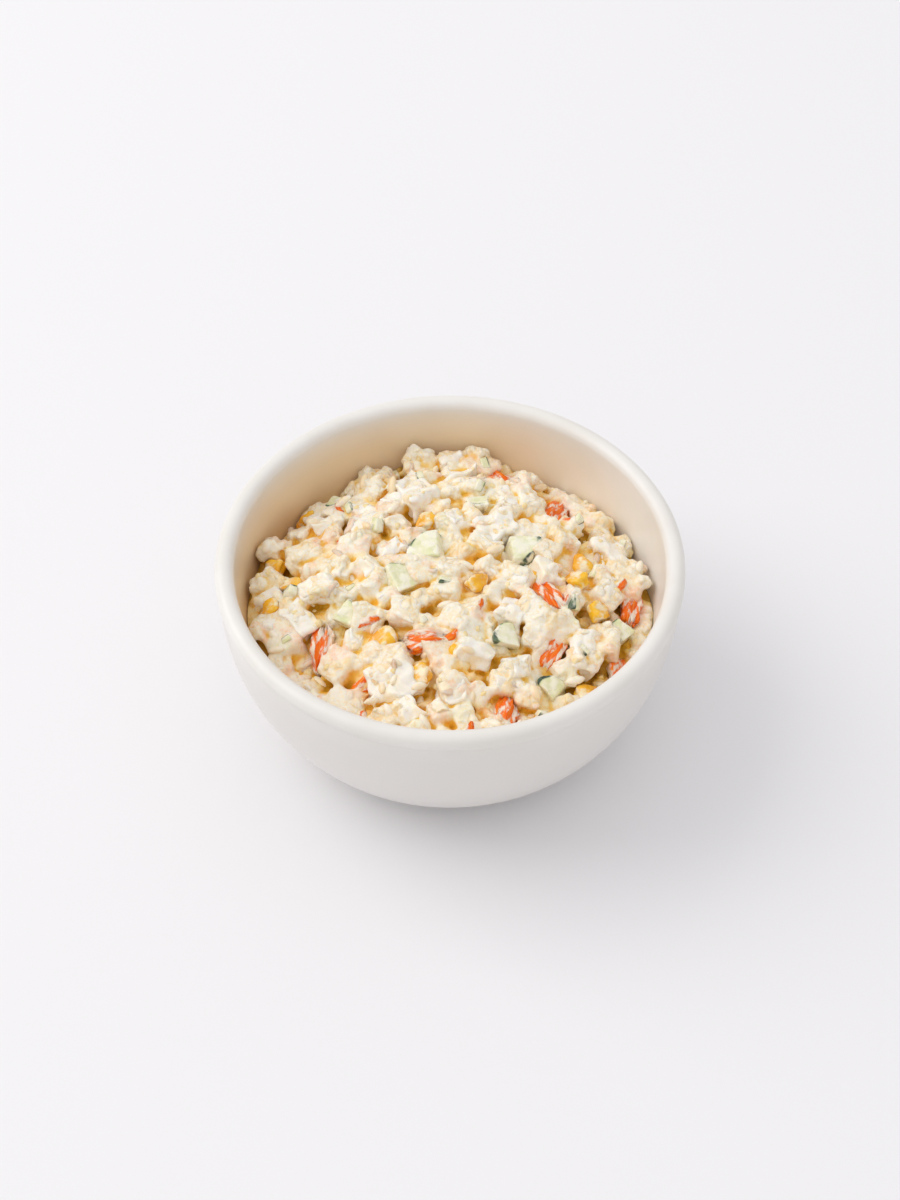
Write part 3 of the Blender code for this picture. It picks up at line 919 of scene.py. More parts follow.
@dataclass
class EggWhiteDice:
    """Diced boiled egg white: thick slabs where the salad shows them, and small dice between."""

    form: HeapForm
    growth: float = 1.15
    width: float = 0.7
    broader: float = 1.05
    thickness: float = 0.5
    thicker: float = 1.1
    slab_edge: float = 0.9
    slab_cuts: int = 11
    slab_dents: tuple = ((5.0, 1.9, 0.5), (2.2, 0.45, 0.1))
    dice_edge: float = 0.7
    dice_cuts: int = 6
    dice_dents: tuple = ((4.0, 1.6, 40.5), (1.8, 0.45, 40.1))
    seed: int = 5

    def slabs(self, places: Iterable[Place]) -> list[Shape]:
        """Return the large pieces at their places."""
        draw = random.Random(self.seed)
        made = []
        for number, place in enumerate(places):
            length = place.size * self.growth
            size = (length, length * self.width * self.broader, length * self.thickness * self.thicker)
            shape = cut_block(draw, size, self.slab_edge, self.slab_cuts)
            made.append(self.laid(shape, self.slab_dents, number, place))
        return made

    def dice(self, places: Iterable[Place], full: float) -> list[Shape]:
        """Return the small dice at their places, cut from a full size."""
        draw = random.Random(self.seed + 1)
        made = []
        for number, place in enumerate(places):
            length = full * place.size
            size = (length, length * draw.uniform(0.7, 0.95), length * draw.uniform(0.6, 0.85))
            shape = cut_block(draw, size, self.dice_edge, self.dice_cuts)
            made.append(self.laid(shape, self.dice_dents, number, place))
        return made

    def laid(self, shape: Shape, dents: tuple, number: int, place: Place) -> Shape:
        """Dent a block's faces and return it at its place, standing on its own half height.

        Args:
            shape: the block.
            dents: size, depth and seed of each roughness.
            number: which block of its kind it is.
            place: where it lies.

        Returns:
            The finished shape.
        """
        for size, depth, seed in dents:
            shape.points = roughened(shape.points, size, depth, number + seed)
        return self.form.lay(shape, place, float(shape.points[:, 2].max()))


@dataclass
class CrabStrips:
    """Flakes of crab stick: bent strips with a red skin, split into fibres at their ends."""

    form: HeapForm
    growth: float = 1.2
    width: float = 7.4
    thickness: float = 3.6
    edge_share: float = 0.09
    cuts: int = 9
    bends: tuple[float, float] = (0.06, 0.16)
    narrowing: float = 0.45
    thinning: float = 0.3
    strand_height: float = 1.5
    seed: int = 6
    # How much of each strip's skin lies upwards, in the order of the places.
    skinned: tuple = (0.85, 0.95, 1.0, 0.3, 0.55, 0.95, 0.85, 0.3, 0.8, 0.5, 0.4)

    def strip(self, draw: random.Random, length: float, skinned: float) -> Shape:
        """Return one strip along X, ragged and bent, with this much of its skin on the upper face."""
        shape = bmesh.new()
        bmesh.ops.create_cube(shape, size=1.0)
        rounded(shape, shape.edges[:], self.edge_share, 1)
        long_edges = [side for side in shape.edges if side.calc_length() > 0.3]
        bmesh.ops.subdivide_edges(shape, edges=long_edges, cuts=self.cuts, use_grid_fill=True)
        bend = draw.uniform(*self.bends) * length
        phase = draw.uniform(0.0, 40.0)
        points = []
        skin = []
        fibre = []
        for vertex in shape.verts:
            x, y, z = vertex.co
            ragged = 1.0 + 0.5 * noise.noise(Vector((x * 3.5, y * 2.0, phase)))
            strand = noise.noise(Vector((x * 1.6 + phase, y * 7.0, z * 3.0)))
            along = x * length * (1.0 + 0.5 * noise.noise(Vector((phase, y * 5.0, z * 4.0))))
            side = y * self.width * (1.0 - self.narrowing * abs(2.0 * x) ** 3) * ragged
            up = z * self.thickness * (1.0 - self.thinning * (2.0 * x) ** 4)
            up = up + strand * self.strand_height - bend * (2.0 * x) ** 2
            points.append((along, side, up))
            skin.append(min(max(0.1 + 0.75 * skinned + z * 0.9 - y * 1.3 * (1.05 - skinned), 0.0), 1.0))
            fibre.append((along, side + z * self.thickness))
        made = Shape.of(shape, skin=np.array(skin), fibre=np.array(fibre))
        made.points = np.array(points)
        return made

    def strips(self, places: Iterable[Place]) -> list[Shape]:
        """Return every strip at its place."""
        draw = random.Random(self.seed)
        made = []
        for place, skinned in zip(places, self.skinned):
            shape = self.strip(draw, place.size * self.growth, skinned)
            made.append(self.form.lay(shape, place, self.thickness * 0.5))
        return made


@dataclass
class CucumberWedges:
    """Wedges of cucumber slice: the point, two straight cuts, and the round dark skin opposite."""

    form: HeapForm
    width: float = 0.85
    thickness: float = 6.0
    spread: float = 60.0
    skin_points: int = 9
    edge: float = 0.55
    sharpest: float = 35.0
    longest_side: float = 1.6
    lean: float = 0.15
    dent_size: float = 3.0
    dent_depth: float = 0.5
    seed: int = 7

    def wedge(self, draw: random.Random, length: float) -> Shape:
        """Return one wedge with its skin towards +Y."""
        width = length * self.width
        shape = bmesh.new()
        turn = math.radians(self.spread)
        radius = 0.5 / math.sin(turn)
        outline = [(0.0, -0.5)]
        outline += [(radius * math.sin(at), radius * (math.cos(at) - 1.0) + 0.5)
                    for at in spread(turn, -turn, self.skin_points)]
        lean = draw.uniform(-self.lean, self.lean)
        face = shape.faces.new([shape.verts.new(((x - lean) * length, y * width, -self.thickness / 2.0))
                                for x, y in outline])
        raised = bmesh.ops.extrude_face_region(shape, geom=[face])["geom"]
        lifted = [part for part in raised if isinstance(part, bmesh.types.BMVert)]
        bmesh.ops.translate(shape, verts=lifted, vec=(2.0 * lean * length, 0.0, self.thickness))
        bmesh.ops.recalc_face_normals(shape, faces=shape.faces[:])
        sharp = [side for side in shape.edges if side.calc_face_angle() > math.radians(self.sharpest)]
        rounded(shape, sharp, self.edge)
        bmesh.ops.triangulate(shape, faces=shape.faces[:])
        for _ in range(2):
            long_sides = [side for side in shape.edges if side.calc_length() > self.longest_side]
            bmesh.ops.subdivide_edges(shape, edges=long_sides, cuts=1)
            bmesh.ops.triangulate(shape, faces=shape.faces[:])
        skin = []
        for vertex in shape.verts:
            x, y = vertex.co.x / length, vertex.co.y / width
            skin.append(min(math.hypot(x, y - 0.5 + radius) / radius, 1.0) if y > -0.1 else 0.0)
        made = Shape.of(shape, skin=np.array(skin))
        made.points = roughened(made.points, self.dent_size, self.dent_depth, draw.uniform(0.0, 9.0))
        return made

    def wedges(self, places: Iterable[Place]) -> list[Shape]:
        """Return every wedge at its place."""
        draw = random.Random(self.seed)
        return [self.form.lay(self.wedge(draw, place.size), place, self.thickness * 0.5) for place in places]


@dataclass
class CornKernels:
    """Sweetcorn kernels: plump crowns that narrow to the end that sat in the cob."""

    form: HeapForm
    growths: tuple[float, float] = (1.1, 1.3)
    width: float = 0.92
    thickness: float = 0.68
    narrowing: float = 0.55
    boxiness: float = 0.2
    dimple: float = 0.10
    dent_size: float = 3.0
    dent_depth: float = 0.8
    seed: int = 8

    def kernel(self, draw: random.Random, length: float) -> Shape:
        """Return one kernel with its root towards +X."""
        shape = bmesh.new()
        bmesh.ops.create_uvsphere(shape, u_segments=20, v_segments=14, radius=0.5)
        bmesh.ops.rotate(shape, verts=shape.verts[:], matrix=Matrix.Rotation(math.radians(90.0), 3, "Y"))
        points = []
        root = []
        for vertex in shape.verts:
            x, y, z = vertex.co
            narrow = 1.0 - self.narrowing * (x + 0.5) ** 1.5
            dent = self.dimple * math.exp(-((y * 5.0) ** 2 + (z * 5.0) ** 2)) if x < 0.0 else 0.0
            boxy = 1.0 - self.boxiness * math.cos(4.0 * math.atan2(z, y))
            points.append(((x + dent) * length, y * length * self.width * narrow * boxy,
                           z * length * self.thickness * narrow * boxy))
            root.append(min(max(x + 0.35, 0.0) * 1.4, 1.0))
        made = Shape.of(shape, root=np.array(root))
        made.points = roughened(np.array(points), self.dent_size, self.dent_depth, draw.uniform(0.0, 9.0))
        return made

    def kernels(self, places: Iterable[Place]) -> list[Shape]:
        """Return every kernel at its place."""
        draw = random.Random(self.seed)
        made = []
        for place in places:
            shape = self.kernel(draw, place.size * draw.uniform(*self.growths))
            made.append(self.form.lay(shape, place, place.size * 0.55))
        return made


def grain_shape(around: int, along: int) -> Shape:
    """Return a blunt cooked grain, one unit long and one wide, along X."""
    shape = bmesh.new()
    bmesh.ops.create_uvsphere(shape, u_segments=around, v_segments=along, radius=0.5)
    bmesh.ops.rotate(shape, verts=shape.verts[:], matrix=Matrix.Rotation(math.radians(90.0), 3, "Y"))
    for vertex in shape.verts:
        x, y, z = vertex.co
        blunt = (1.0 - (2.0 * x) ** 4 * 0.25) if abs(x) < 0.5 else 0.75
        vertex.co = (x, y * blunt + 0.12 * x * x, z * blunt)
    return Shape.of(shape)


def chunk_shape(seed: int) -> Shape:
    """Return an unevenly diced chunk about one unit across."""
    draw = random.Random(seed)
    shape = bmesh.new()
    bmesh.ops.create_cube(shape, size=1.0)
    for vertex in shape.verts:
        vertex.co = [part * draw.uniform(0.68, 1.08) for part in vertex.co]
    rounded(shape, shape.edges[:], 0.14)
    return Shape.of(shape)


def lump_shape(seed: int, roughness: float) -> Shape:
    """Return an uneven rounded lump about one unit across."""
    shape = bmesh.new()
    bmesh.ops.create_icosphere(shape, subdivisions=2, radius=0.5)
    made = Shape.of(shape)
    made.points = roughened(made.points, 0.45, roughness, seed * 1.7)
    return made


def shred_shape(seed: int) -> Shape:
    """Return a torn flake of crab stick about one unit long, with a skin mark and its fibres."""
    draw = random.Random(seed)
    shape = bmesh.new()
    bmesh.ops.create_cube(shape, size=1.0)
    along = [side for side in shape.edges if abs(side.verts[0].co.x - side.verts[1].co.x) > 0.5]
    bmesh.ops.subdivide_edges(shape, edges=along, cuts=5, use_grid_fill=True)
    bend = draw.uniform(-0.5, 0.5)
    skinned = draw.random() < 0.55
    skin = []
    fibre = []
    for vertex in shape.verts:
        x, y, z = vertex.co
        skin.append(0.9 if skinned and z > 0.0 else 0.1)
        fibre.append((x * 9.0 + seed, y * 2.0 + z))
        end = 1.0 - 0.6 * (2.0 * abs(x)) ** 3
        side = (y + draw.uniform(-0.12, 0.12)) * end + bend * x * x * 4.0
        vertex.co = (x, side, (z + draw.uniform(-0.1, 0.1)) * end)
    return Shape.of(shape, skin=np.array(skin), fibre=np.array(fibre))


def sliver_shape(seed: int) -> Shape:
    """Return a small cut of cucumber about one unit long, with its skin on one side."""
    made = chunk_shape(seed)
    made.marks = {"skin": np.clip(made.points[:, 1] * 1.3 + 0.55, 0.0, 1.0)}
    return made


@dataclass
class Scatter:
    """Finds places on a finished surface, seen from above, at least a spacing apart."""

    surface: BVHTree
    form: HeapForm
    seed: int
    shown: BVHTree
    shown_share: float
    steepest: float = 0.1
    tilt: float = 0.35
    uneven: float = 0.07

    def places(self, count: int, spacing: float, reach: float) -> list[tuple[Vector, Vector]]:
        """Return points and directions of the surface, mostly clear of the pieces that are to be seen.

        Args:
            count: how many are tried.
            spacing: least distance between two, in millimetres.
            reach: largest distance from the bowl's axis.

        Returns:
            Each place's point and outward direction.
        """
        draw = random.Random(self.seed)
        down = Vector((0.0, 0.0, -1.0))
        cells: dict[tuple[int, int, int], list[Vector]] = {}
        found = []
        for _ in range(count):
            radius = reach * math.sqrt(draw.random())
            angle = draw.uniform(0.0, 2.0 * math.pi)
            start = Vector((radius * math.cos(angle), radius * math.sin(angle), 100.0))
            point, normal, _, _ = self.surface.ray_cast(start, down)
            if point is None or normal.z < self.steepest:
                continue
            if draw.random() > self.shown_share and self.shown.ray_cast(start, down)[0]:
                continue
            cell = tuple(int(math.floor(part / spacing)) for part in point)
            around = [(cell[0] + a, cell[1] + b, cell[2] + c)
                      for a in (-1, 0, 1) for b in (-1, 0, 1) for c in (-1, 0, 1)]
            if any((point - other).length < spacing for near in around for other in cells.get(near, ())):
                continue
            cells.setdefault(cell, []).append(point)
            found.append((point, normal))
        return found

    def laid(self, shapes: Sequence[Shape], places: Sequence[tuple[Vector, Vector]],
             sizes: tuple[float, float, float], vary: float, sink: float) -> list[Shape]:
        """Return one shape at each place, turned at random in the surface.

        Args:
            shapes: what is laid in turn, one unit across.
            places: points and directions.
            sizes: length, width and height in millimetres.
            vary: the share by which sizes differ.
            sink: how far the middle lies under the surface, as a share of the half height.

        Returns:
            The shapes.
        """
        draw = random.Random(self.seed + 1)
        made = []
        for number, (point, normal) in enumerate(places):
            size = draw.uniform(1.0 - vary, 1.0 + vary)
            stand = normal.to_track_quat("Z", "Y").to_matrix()
            spin = Matrix.Rotation(draw.uniform(0.0, 2.0 * math.pi), 3, "Z")
            tip = Matrix.Rotation(draw.uniform(-self.tilt, self.tilt), 3, "Y")
            scale = Matrix.Diagonal([part * size * draw.uniform(1.0 - self.uneven, 1.0 + self.uneven)
                                     for part in sizes])
            middle = point - normal * (sizes[2] * size * 0.5 * sink)
            matrix = Matrix.Translation(middle) @ (stand @ spin @ tip @ scale).to_4x4()
            shape = shapes[number % len(shapes)].placed(matrix)
            shape.points = self.form.kept_inside(shape.points)
            made.append(shape)
        return made


@dataclass
class DressedMass:
    """Rice and chopped egg bound with mayonnaise: one lumpy mass that holds the larger pieces."""

    form: HeapForm
    layout: Layout
    core_drop: float = 2.8
    lump_growth: float = 1.28
    floor_height: float = 40.0
    voxel: float = 0.5
    dressing: float = 0.28
    most_triangles: int = 190_000
    clump_tries: int = 6000
    clump_spacing: float = 9.5
    clump: tuple[float, float, float] = (17.0, 14.0, 10.5)
    clump_bed: float = 2.4
    bit_tries: int = 12000
    bit_spacing: float = 4.6
    bit: tuple[float, float, float] = (7.4, 5.8, 4.4)
    bit_below: float = 1.9
    rim_width: float = 7.0
    crumb_tries: int = 16000
    crumb_spacing: float = 2.8
    crumb: tuple[float, float, float] = (4.2, 3.4, 2.8)
    crumb_fill: float = 1.6
    grain: tuple[float, float, float] = (5.4, 2.6, 2.4)
    patch: float = 9.0
    over_edge: float = 0.4
    seed: int = 11
    middles: list = field(default_factory=list)

    @property
    def edge(self) -> float:
        """Return the heap's reach from the bowl's axis."""
        return self.form.bowl.inner_wall(self.form.edge_depth)

    def core(self) -> Shape:
        """Return the lens of packed salad under the lumps, flat below."""
        shape = bmesh.new()
        bmesh.ops.create_icosphere(shape, subdivisions=6, radius=1.0)
        form = self.form
        for vertex in shape.verts:
            x, y, z = vertex.co
            angle = math.atan2(y, x)
            edge = form.bowl.inner_wall(form.depth_at_edge(angle)) - form.gap
            share = min(math.hypot(x, y), 1.0)
            level = Vector((math.cos(angle), math.sin(angle), 0.0)) * edge * share**0.8
            top = form.height(level.x, level.y) - self.core_drop * (1.0 - share**8)
            side = (1.0 - share**12) if z < 0.0 else 1.0
            level.z = top if z >= 0.0 else top + (self.floor_height - top) * side
            wall = form.bowl.inner_wall(form.bowl.lip_height - level.z) - form.gap
            if level.xy.length > wall:
                level.xy = level.xy.normalized() * wall
            vertex.co = level
        return Shape.of(shape)

    def lumps(self) -> list[Shape]:
        """Return the chopped pieces at the frame's own small places."""
        shapes = [chunk_shape(number) for number in range(12)]
        made = []
        for number, place in enumerate(self.layout.places[Kind.DICE]):
            size = self.layout.dice_size * place.size * self.lump_growth
            scale = Matrix.Diagonal((size, size * 0.9, size * 0.7)).to_4x4()
            lump = shapes[number % len(shapes)].placed(scale)
            made.append(self.form.lay(lump, place, size * 0.22))
        return made

    def low(self, point: Vector, drop: float) -> bool:
        """Say whether a point lies this far below the heap's form."""
        return point.z < self.form.height(point.x, point.y) - drop

    def clumps(self, rough: Sequence[Shape], shown: BVHTree, chunks: Sequence[Shape]) -> list[Shape]:
        """Return the clumps that rise to the heap's form where the rough shapes lie low."""
        heads = Scatter(tree_of(rough), self.form, self.seed, shown, 0.0)
        beds = []
        for point, normal in heads.places(self.clump_tries, self.clump_spacing, self.edge - 4.0):
            level = self.form.height(point.x, point.y) - self.clump_bed
            if point.z < level:
                beds.append((Vector((point.x, point.y, level)), normal))
        return heads.laid(chunks, beds, self.clump, vary=0.35, sink=0.3)

    def bits(self, rough: Sequence[Shape], shown: BVHTree, chunks: Sequence[Shape]) -> list[Shape]:
        """Return the small bits in the hollows and along the wall."""
        filler = Scatter(tree_of(rough), self.form, self.seed + 7, shown, 0.0)
        found = filler.places(self.bit_tries, self.bit_spacing, self.edge + self.over_edge)
        hollows = [(point, normal) for point, normal in found
                   if self.low(point, self.bit_below)
                   or point.xy.length > self.edge - self.rim_width * 0.5]
        return filler.laid(chunks, hollows, self.bit, vary=0.35, sink=0.1)

    def crumbs(self, rough: Sequence[Shape], bare: BVHTree, chunks: Sequence[Shape]) -> list[Shape]:
        """Return the crumbs and grains in patches, in low places and along the wall."""
        loose = Scatter(tree_of(rough), self.form, self.seed + 2, bare, 0.15)
        found = loose.places(self.crumb_tries, self.crumb_spacing, self.edge + self.over_edge)
        places = [(point, normal) for point, normal in found
                  if noise.noise(point / self.patch) > 0.0
                  or self.low(point, self.crumb_fill)
                  or point.xy.length > self.edge - self.rim_width]
        crumbs = [lump_shape(number, 0.24) for number in range(12)]
        grains = [grain_shape(8, 6)]
        return [*loose.laid(crumbs, places[::2], self.crumb, vary=0.4, sink=0.35),
                *loose.laid(grains, places[1::4], self.grain, vary=0.15, sink=0.3),
                *loose.laid(chunks, places[3::4], self.crumb, vary=0.4, sink=0.35)]

    def gather(self, bare: BVHTree, shown: BVHTree, covered: Sequence[Shape]) -> list[Shape]:
        """Return every shape that the mass is fused from.

        Args:
            bare: the pieces that nothing lies on.
            shown: the pieces that only rice lies on.
            covered: the pieces that the dressing holds from below.
        """
        chunks = [chunk_shape(number) for number in range(20, 36)]
        rough = [Shape(part.points, part.faces) for part in (self.core(), *self.lumps())]
        rough += self.clumps(rough, shown, chunks)
        for shape in covered:
            sunk = grown(shape, 0.96)
            sunk.points[:, 2] -= 0.3
            rough.append(sunk)
        rough += self.bits(rough, shown, chunks)
        rough += self.crumbs(rough, bare, chunks)
        self.middles = [shape.points.mean(axis=0) for shape in rough[1:]]
        return rough

    def build(self, bare: BVHTree, shown: BVHTree, covered: Sequence[Shape],
              finish: Finish) -> bpy.types.Object:
        """Fuse the shapes, soften them under the dressing and colour the result.

        Args:
            bare: the pieces that nothing lies on.
            shown: the pieces that only rice lies on.
            covered: the pieces that the dressing holds from below.
            finish: its material.

        Returns:
            The mass as a piece.
        """
        rough = self.gather(bare, shown, covered)
        log.info("the mass is fused from %d shapes", len(rough))
        mesh = applied(
            joined("dressed_rice", rough),
            ("REMESH", {"mode": "VOXEL", "voxel_size": self.voxel, "adaptivity": 0.0}),
            ("DISPLACE", {"strength": self.dressing, "mid_level": 0.0}),
            ("REMESH", {"mode": "VOXEL", "voxel_size": self.voxel, "adaptivity": 0.0}),
            ("DISPLACE", {"strength": -self.dressing, "mid_level": 0.0}),
            ("SMOOTH", {"factor": 0.5, "iterations": 1}),
            ("DISPLACE", {"texture": clouds(2.0), "strength": 0.5, "mid_level": 0.5}),
        )
        triangles = sum(len(face.vertices) - 2 for face in mesh.polygons)
        log.info("the mass has %d triangles before it is thinned", triangles)
        mesh = applied(mesh, ("DECIMATE", {"ratio": min(1.0, self.most_triangles / triangles)}))
        self.settle(mesh)
        self.colour(mesh)
        piece = finish_piece(mesh, "dressed_rice_and_egg", finish)
        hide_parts("salad")
        return piece

    def settle(self, mesh: bpy.types.Mesh) -> None:
        """Draw back whatever reaches into the bowl's wall."""
        points = points_of(mesh)
        level = np.hypot(points[:, 0], points[:, 1])
        wall = self.form.bowl.inner_walls(points[:, 2]) - 0.05
        points[:, :2] *= np.minimum(1.0, wall / np.maximum(level, 0.001))[:, None]
        mesh.vertices.foreach_set("co", points.reshape(-1).astype(np.float32))
        mesh.update()

    def colour(self, mesh: bpy.types.Mesh) -> None:
        """Store how deep each point lies in a gap or a fold, and the tint of what lies under the dressing."""
        points = points_of(mesh)
        for name, values in (("gap", depth_in_gaps(points)), ("fold", depth_in_folds(mesh, points))):
            mesh.attributes.new(name, "FLOAT", "POINT").data.foreach_set("value", values.astype(np.float32))
        tint = self.piece_tints(points)
        for middle, colour, reach, strength in self.stains():
            distance = np.linalg.norm(points - middle, axis=1)
            share = (strength * np.exp(-((distance / reach) ** 2)))[:, None]
            tint = tint * (1.0 - share) + np.array(colour) * share
        layer = mesh.color_attributes.new("tint", "FLOAT_COLOR", "POINT")
        layer.data.foreach_set("color", tint.reshape(-1).astype(np.float32))

    def piece_tints(self, points: np.ndarray) -> np.ndarray:
        """Return the colour of the chopped piece that lies nearest to each point."""
        draw = random.Random(self.seed + 6)
        tones = ("#FFF4E2", "#FFEDD2", "#FFE4B6", "#FFDDC4", "#F6F0D2")
        palette = np.array([linear(tone) for tone in tones])
        chosen = np.array(draw.choices(range(len(tones)), weights=(48, 28, 11, 10, 3), k=len(self.middles)))
        tree = KDTree(len(self.middles))
        for number, middle in enumerate(self.middles):
            tree.insert(middle, number)
        tree.balance()
        nearest = np.array([tree.find(point)[1] for point in points])
        return palette[chosen[nearest]]

    def stains(self) -> Iterable[tuple[np.ndarray, tuple, float, float]]:
        """Return each stain's middle, colour, reach and strength."""
        draw = random.Random(self.seed + 5)
        tones = {Kind.CRAB: ("#F2B08E", 6.5, 0.6), Kind.CORN: ("#F1C56B", 5.0, 0.7),
                 Kind.CUCUMBER: ("#DDE3B5", 5.5, 0.5)}
        for kind, (tone, reach, strength) in tones.items():
            for place in self.layout.places[kind]:
                middle = np.array((place.x, place.y, self.form.height(place.x, place.y)))
                yield middle, linear(tone), reach, strength
        for tone, count in (("#F6D68C", 40), ("#F6C6A0", 30), ("#FDF8EE", 40)):
            for _ in range(count):
                radius, angle = 68.0 * math.sqrt(draw.random()), draw.uniform(0.0, 2.0 * math.pi)
                x, y = radius * math.cos(angle), radius * math.sin(angle)
                middle = np.array((x, y, self.form.height(x, y) + draw.uniform(-1.0, 3.0)))
                yield middle, linear(tone), draw.uniform(2.5, 6.0), draw.uniform(0.25, 0.6)


def shape_of(piece: bpy.types.Object) -> Shape:
    """Return a finished piece's mesh as a shape in millimetres."""
    mesh = piece.data
    mesh.calc_loop_triangles()
    faces = np.empty(len(mesh.loop_triangles) * 3, np.int32)
    mesh.loop_triangles.foreach_get("vertices", faces)
    return Shape(points_of(mesh) / MM, faces.reshape(-1, 3))


def tree_of(shapes: Sequence[Shape]) -> BVHTree:
    """Return a tree for casting rays at shapes."""
    points, faces = merged(shapes)
    return BVHTree.FromPolygons(points.tolist(), faces.tolist(), all_triangles=True)


def points_of(mesh: bpy.types.Mesh) -> np.ndarray:
    """Return a mesh's points as an array."""
    points = np.empty(len(mesh.vertices) * 3, np.float32)
    mesh.vertices.foreach_get("co", points)
    return points.reshape(-1, 3).astype(np.float64)


def depth_in_gaps(points: np.ndarray) -> np.ndarray:
    """Return how deep each point lies under the tops around it, from 0 on top to 1 in a deep gap."""
    cell, half, reach = 1.0, 80, 5
    deepest, on_top = 5.0, 0.1
    size = 2 * half + 1
    across = np.clip(np.round(points[:, 0] / cell).astype(int) + half, 0, size - 1)
    away = np.clip(np.round(points[:, 1] / cell).astype(int) + half, 0, size - 1)
    tops = np.full((size, size), -1.0)
    np.maximum.at(tops, (across, away), points[:, 2])
    tops[tops < 0.0] = np.nan
    around = np.zeros_like(tops)
    count = np.zeros_like(tops)
    for step_x in range(-reach, reach + 1):
        for step_y in range(-reach, reach + 1):
            shifted = np.roll(tops, (step_x, step_y), (0, 1))
            known = ~np.isnan(shifted)
            around[known] += shifted[known]
            count[known] += 1.0
    level = around / np.maximum(count, 1.0)
    return np.clip((level[across, away] - points[:, 2]) / deepest + on_top, 0.0, 1.0)


def depth_in_folds(mesh: bpy.types.Mesh, points: np.ndarray) -> np.ndarray:
    """Return how hollow the surface is at each point: 0.5 where it is flat, 1 in a sharp fold."""
    rounds, sharpest, count = 18, 1.8, len(points)
    ends = np.empty(len(mesh.edges) * 2, np.int32)
    mesh.edges.foreach_get("vertices", ends)
    first, second = ends.reshape(-1, 2).T
    degree = np.maximum(np.bincount(ends, minlength=count), 1)[:, None]
    normals = np.empty(count * 3, np.float32)
    mesh.vertices.foreach_get("normal", normals)
    smooth = points.copy()
    for _ in range(rounds):
        near = [np.bincount(first, smooth[second, axis], count)
                + np.bincount(second, smooth[first, axis], count) for axis in range(3)]
        smooth = np.stack(near, axis=1) / degree
    hollow = ((smooth - points) * normals.reshape(-1, 3)).sum(axis=1)
    return np.clip(0.5 + hollow / sharpest, 0.0, 1.0)


@dataclass
class Studio:
    """The pale table, the window light from the left and the camera at the photograph's place."""

    frame_height: float = 1200.0
    frame_width: float = 900.0
    half_view: float = 10.0
    rim_row: float = 562.6
    rim_height: float = 69.7
    distance: float = 867.0
    elevation: float = 47.9
    window_power: float = 36.0
    window_distance: float = 3.0
    window_slope: float = 44.0
    window_size: float = 2.4
    window_tint: tuple[float, float, float] = (1.0, 0.985, 0.965)
    window_side: tuple[float, float, float] = (-0.96, 0.28, 0.0)
    room_low: float = 0.55
    room_high: float = 0.88
    room_tint: tuple[float, float, float, float] = (0.997, 0.993, 1.0, 1.0)
    table_reach: float = 2500.0

    def focal_pixels(self) -> float:
        """Return the focal length in the photograph's pixels."""
        return self.frame_width * 0.5 / math.tan(math.radians(self.half_view))

    def place_camera(self) -> None:
        """Set the camera so that the rim's middle falls on its row."""
        data = bpy.data.cameras.new("Camera")
        data.sensor_fit = "AUTO"
        data.sensor_width = 36.0
        data.lens = self.focal_pixels() * data.sensor_width / self.frame_height
        data.clip_start = 0.01
        camera = bpy.data.objects.new("Camera", data)
        bpy.context.scene.collection.objects.link(camera)
        slope = math.radians(self.elevation)
        camera.location = (0.0, -self.distance * math.cos(slope) * MM,
                           (self.rim_height + self.distance * math.sin(slope)) * MM)
        drop = math.atan((self.frame_height * 0.5 - self.rim_row) / self.focal_pixels())
        camera.rotation_euler = (math.pi * 0.5 - slope - drop, 0.0, 0.0)
        bpy.context.scene.camera = camera

    def lay_table(self) -> None:
        """Make the pale table top."""
        shape = bmesh.new()
        bmesh.ops.create_grid(shape, x_segments=1, y_segments=1, size=self.table_reach)
        mesh = bpy.data.meshes.new("table")
        shape.to_mesh(mesh)
        shape.free()
        mesh.transform(Matrix.Scale(MM, 4))
        table = bpy.data.objects.new("table", mesh)
        bpy.context.scene.collection.objects.link(table)
        paper = Finish()
        paper.material.name = "Pale matt table"
        paper.dress(Base_Color=linear("#F4F3F5"), Roughness=0.8)
        mesh.materials.append(paper.material)

    def light(self) -> None:
        """Hang the window and set the soft light of the room, brighter from above."""
        data = bpy.data.lights.new("Window", "AREA")
        data.shape = "SQUARE"
        data.size = self.window_size
        data.energy = self.window_power
        data.color = self.window_tint
        lamp = bpy.data.objects.new("Window", data)
        bpy.context.scene.collection.objects.link(lamp)
        toward = Vector(self.window_side).normalized()
        slope = math.radians(self.window_slope)
        aloft = toward * math.cos(slope) + Vector((0.0, 0.0, math.sin(slope)))
        lamp.location = aloft * self.window_distance
        lamp.rotation_euler = (-lamp.location).to_track_quat("-Z", "Y").to_euler()
        world = bpy.data.worlds.new("Room")
        bpy.context.scene.world = world
        world.use_nodes = True
        tree = world.node_tree
        direction = add_node(tree, "ShaderNodeTexCoord").outputs["Generated"]
        height = add_node(tree, "ShaderNodeSeparateXYZ", {0: direction}).outputs["Z"]
        level = add_node(tree, "ShaderNodeMapRange", {
            "Value": height, "From Min": 0.0, "From Max": 1.0,
            "To Min": self.room_low, "To Max": self.room_high}).outputs["Result"]
        backdrop = tree.nodes["Background"]
        backdrop.inputs["Color"].default_value = self.room_tint
        tree.links.new(level, backdrop.inputs["Strength"])

    def build(self) -> None:
        """Make everything round the object."""
        self.place_camera()
        self.lay_table()
        self.light()
        bpy.context.scene.view_settings.view_transform = "Standard"


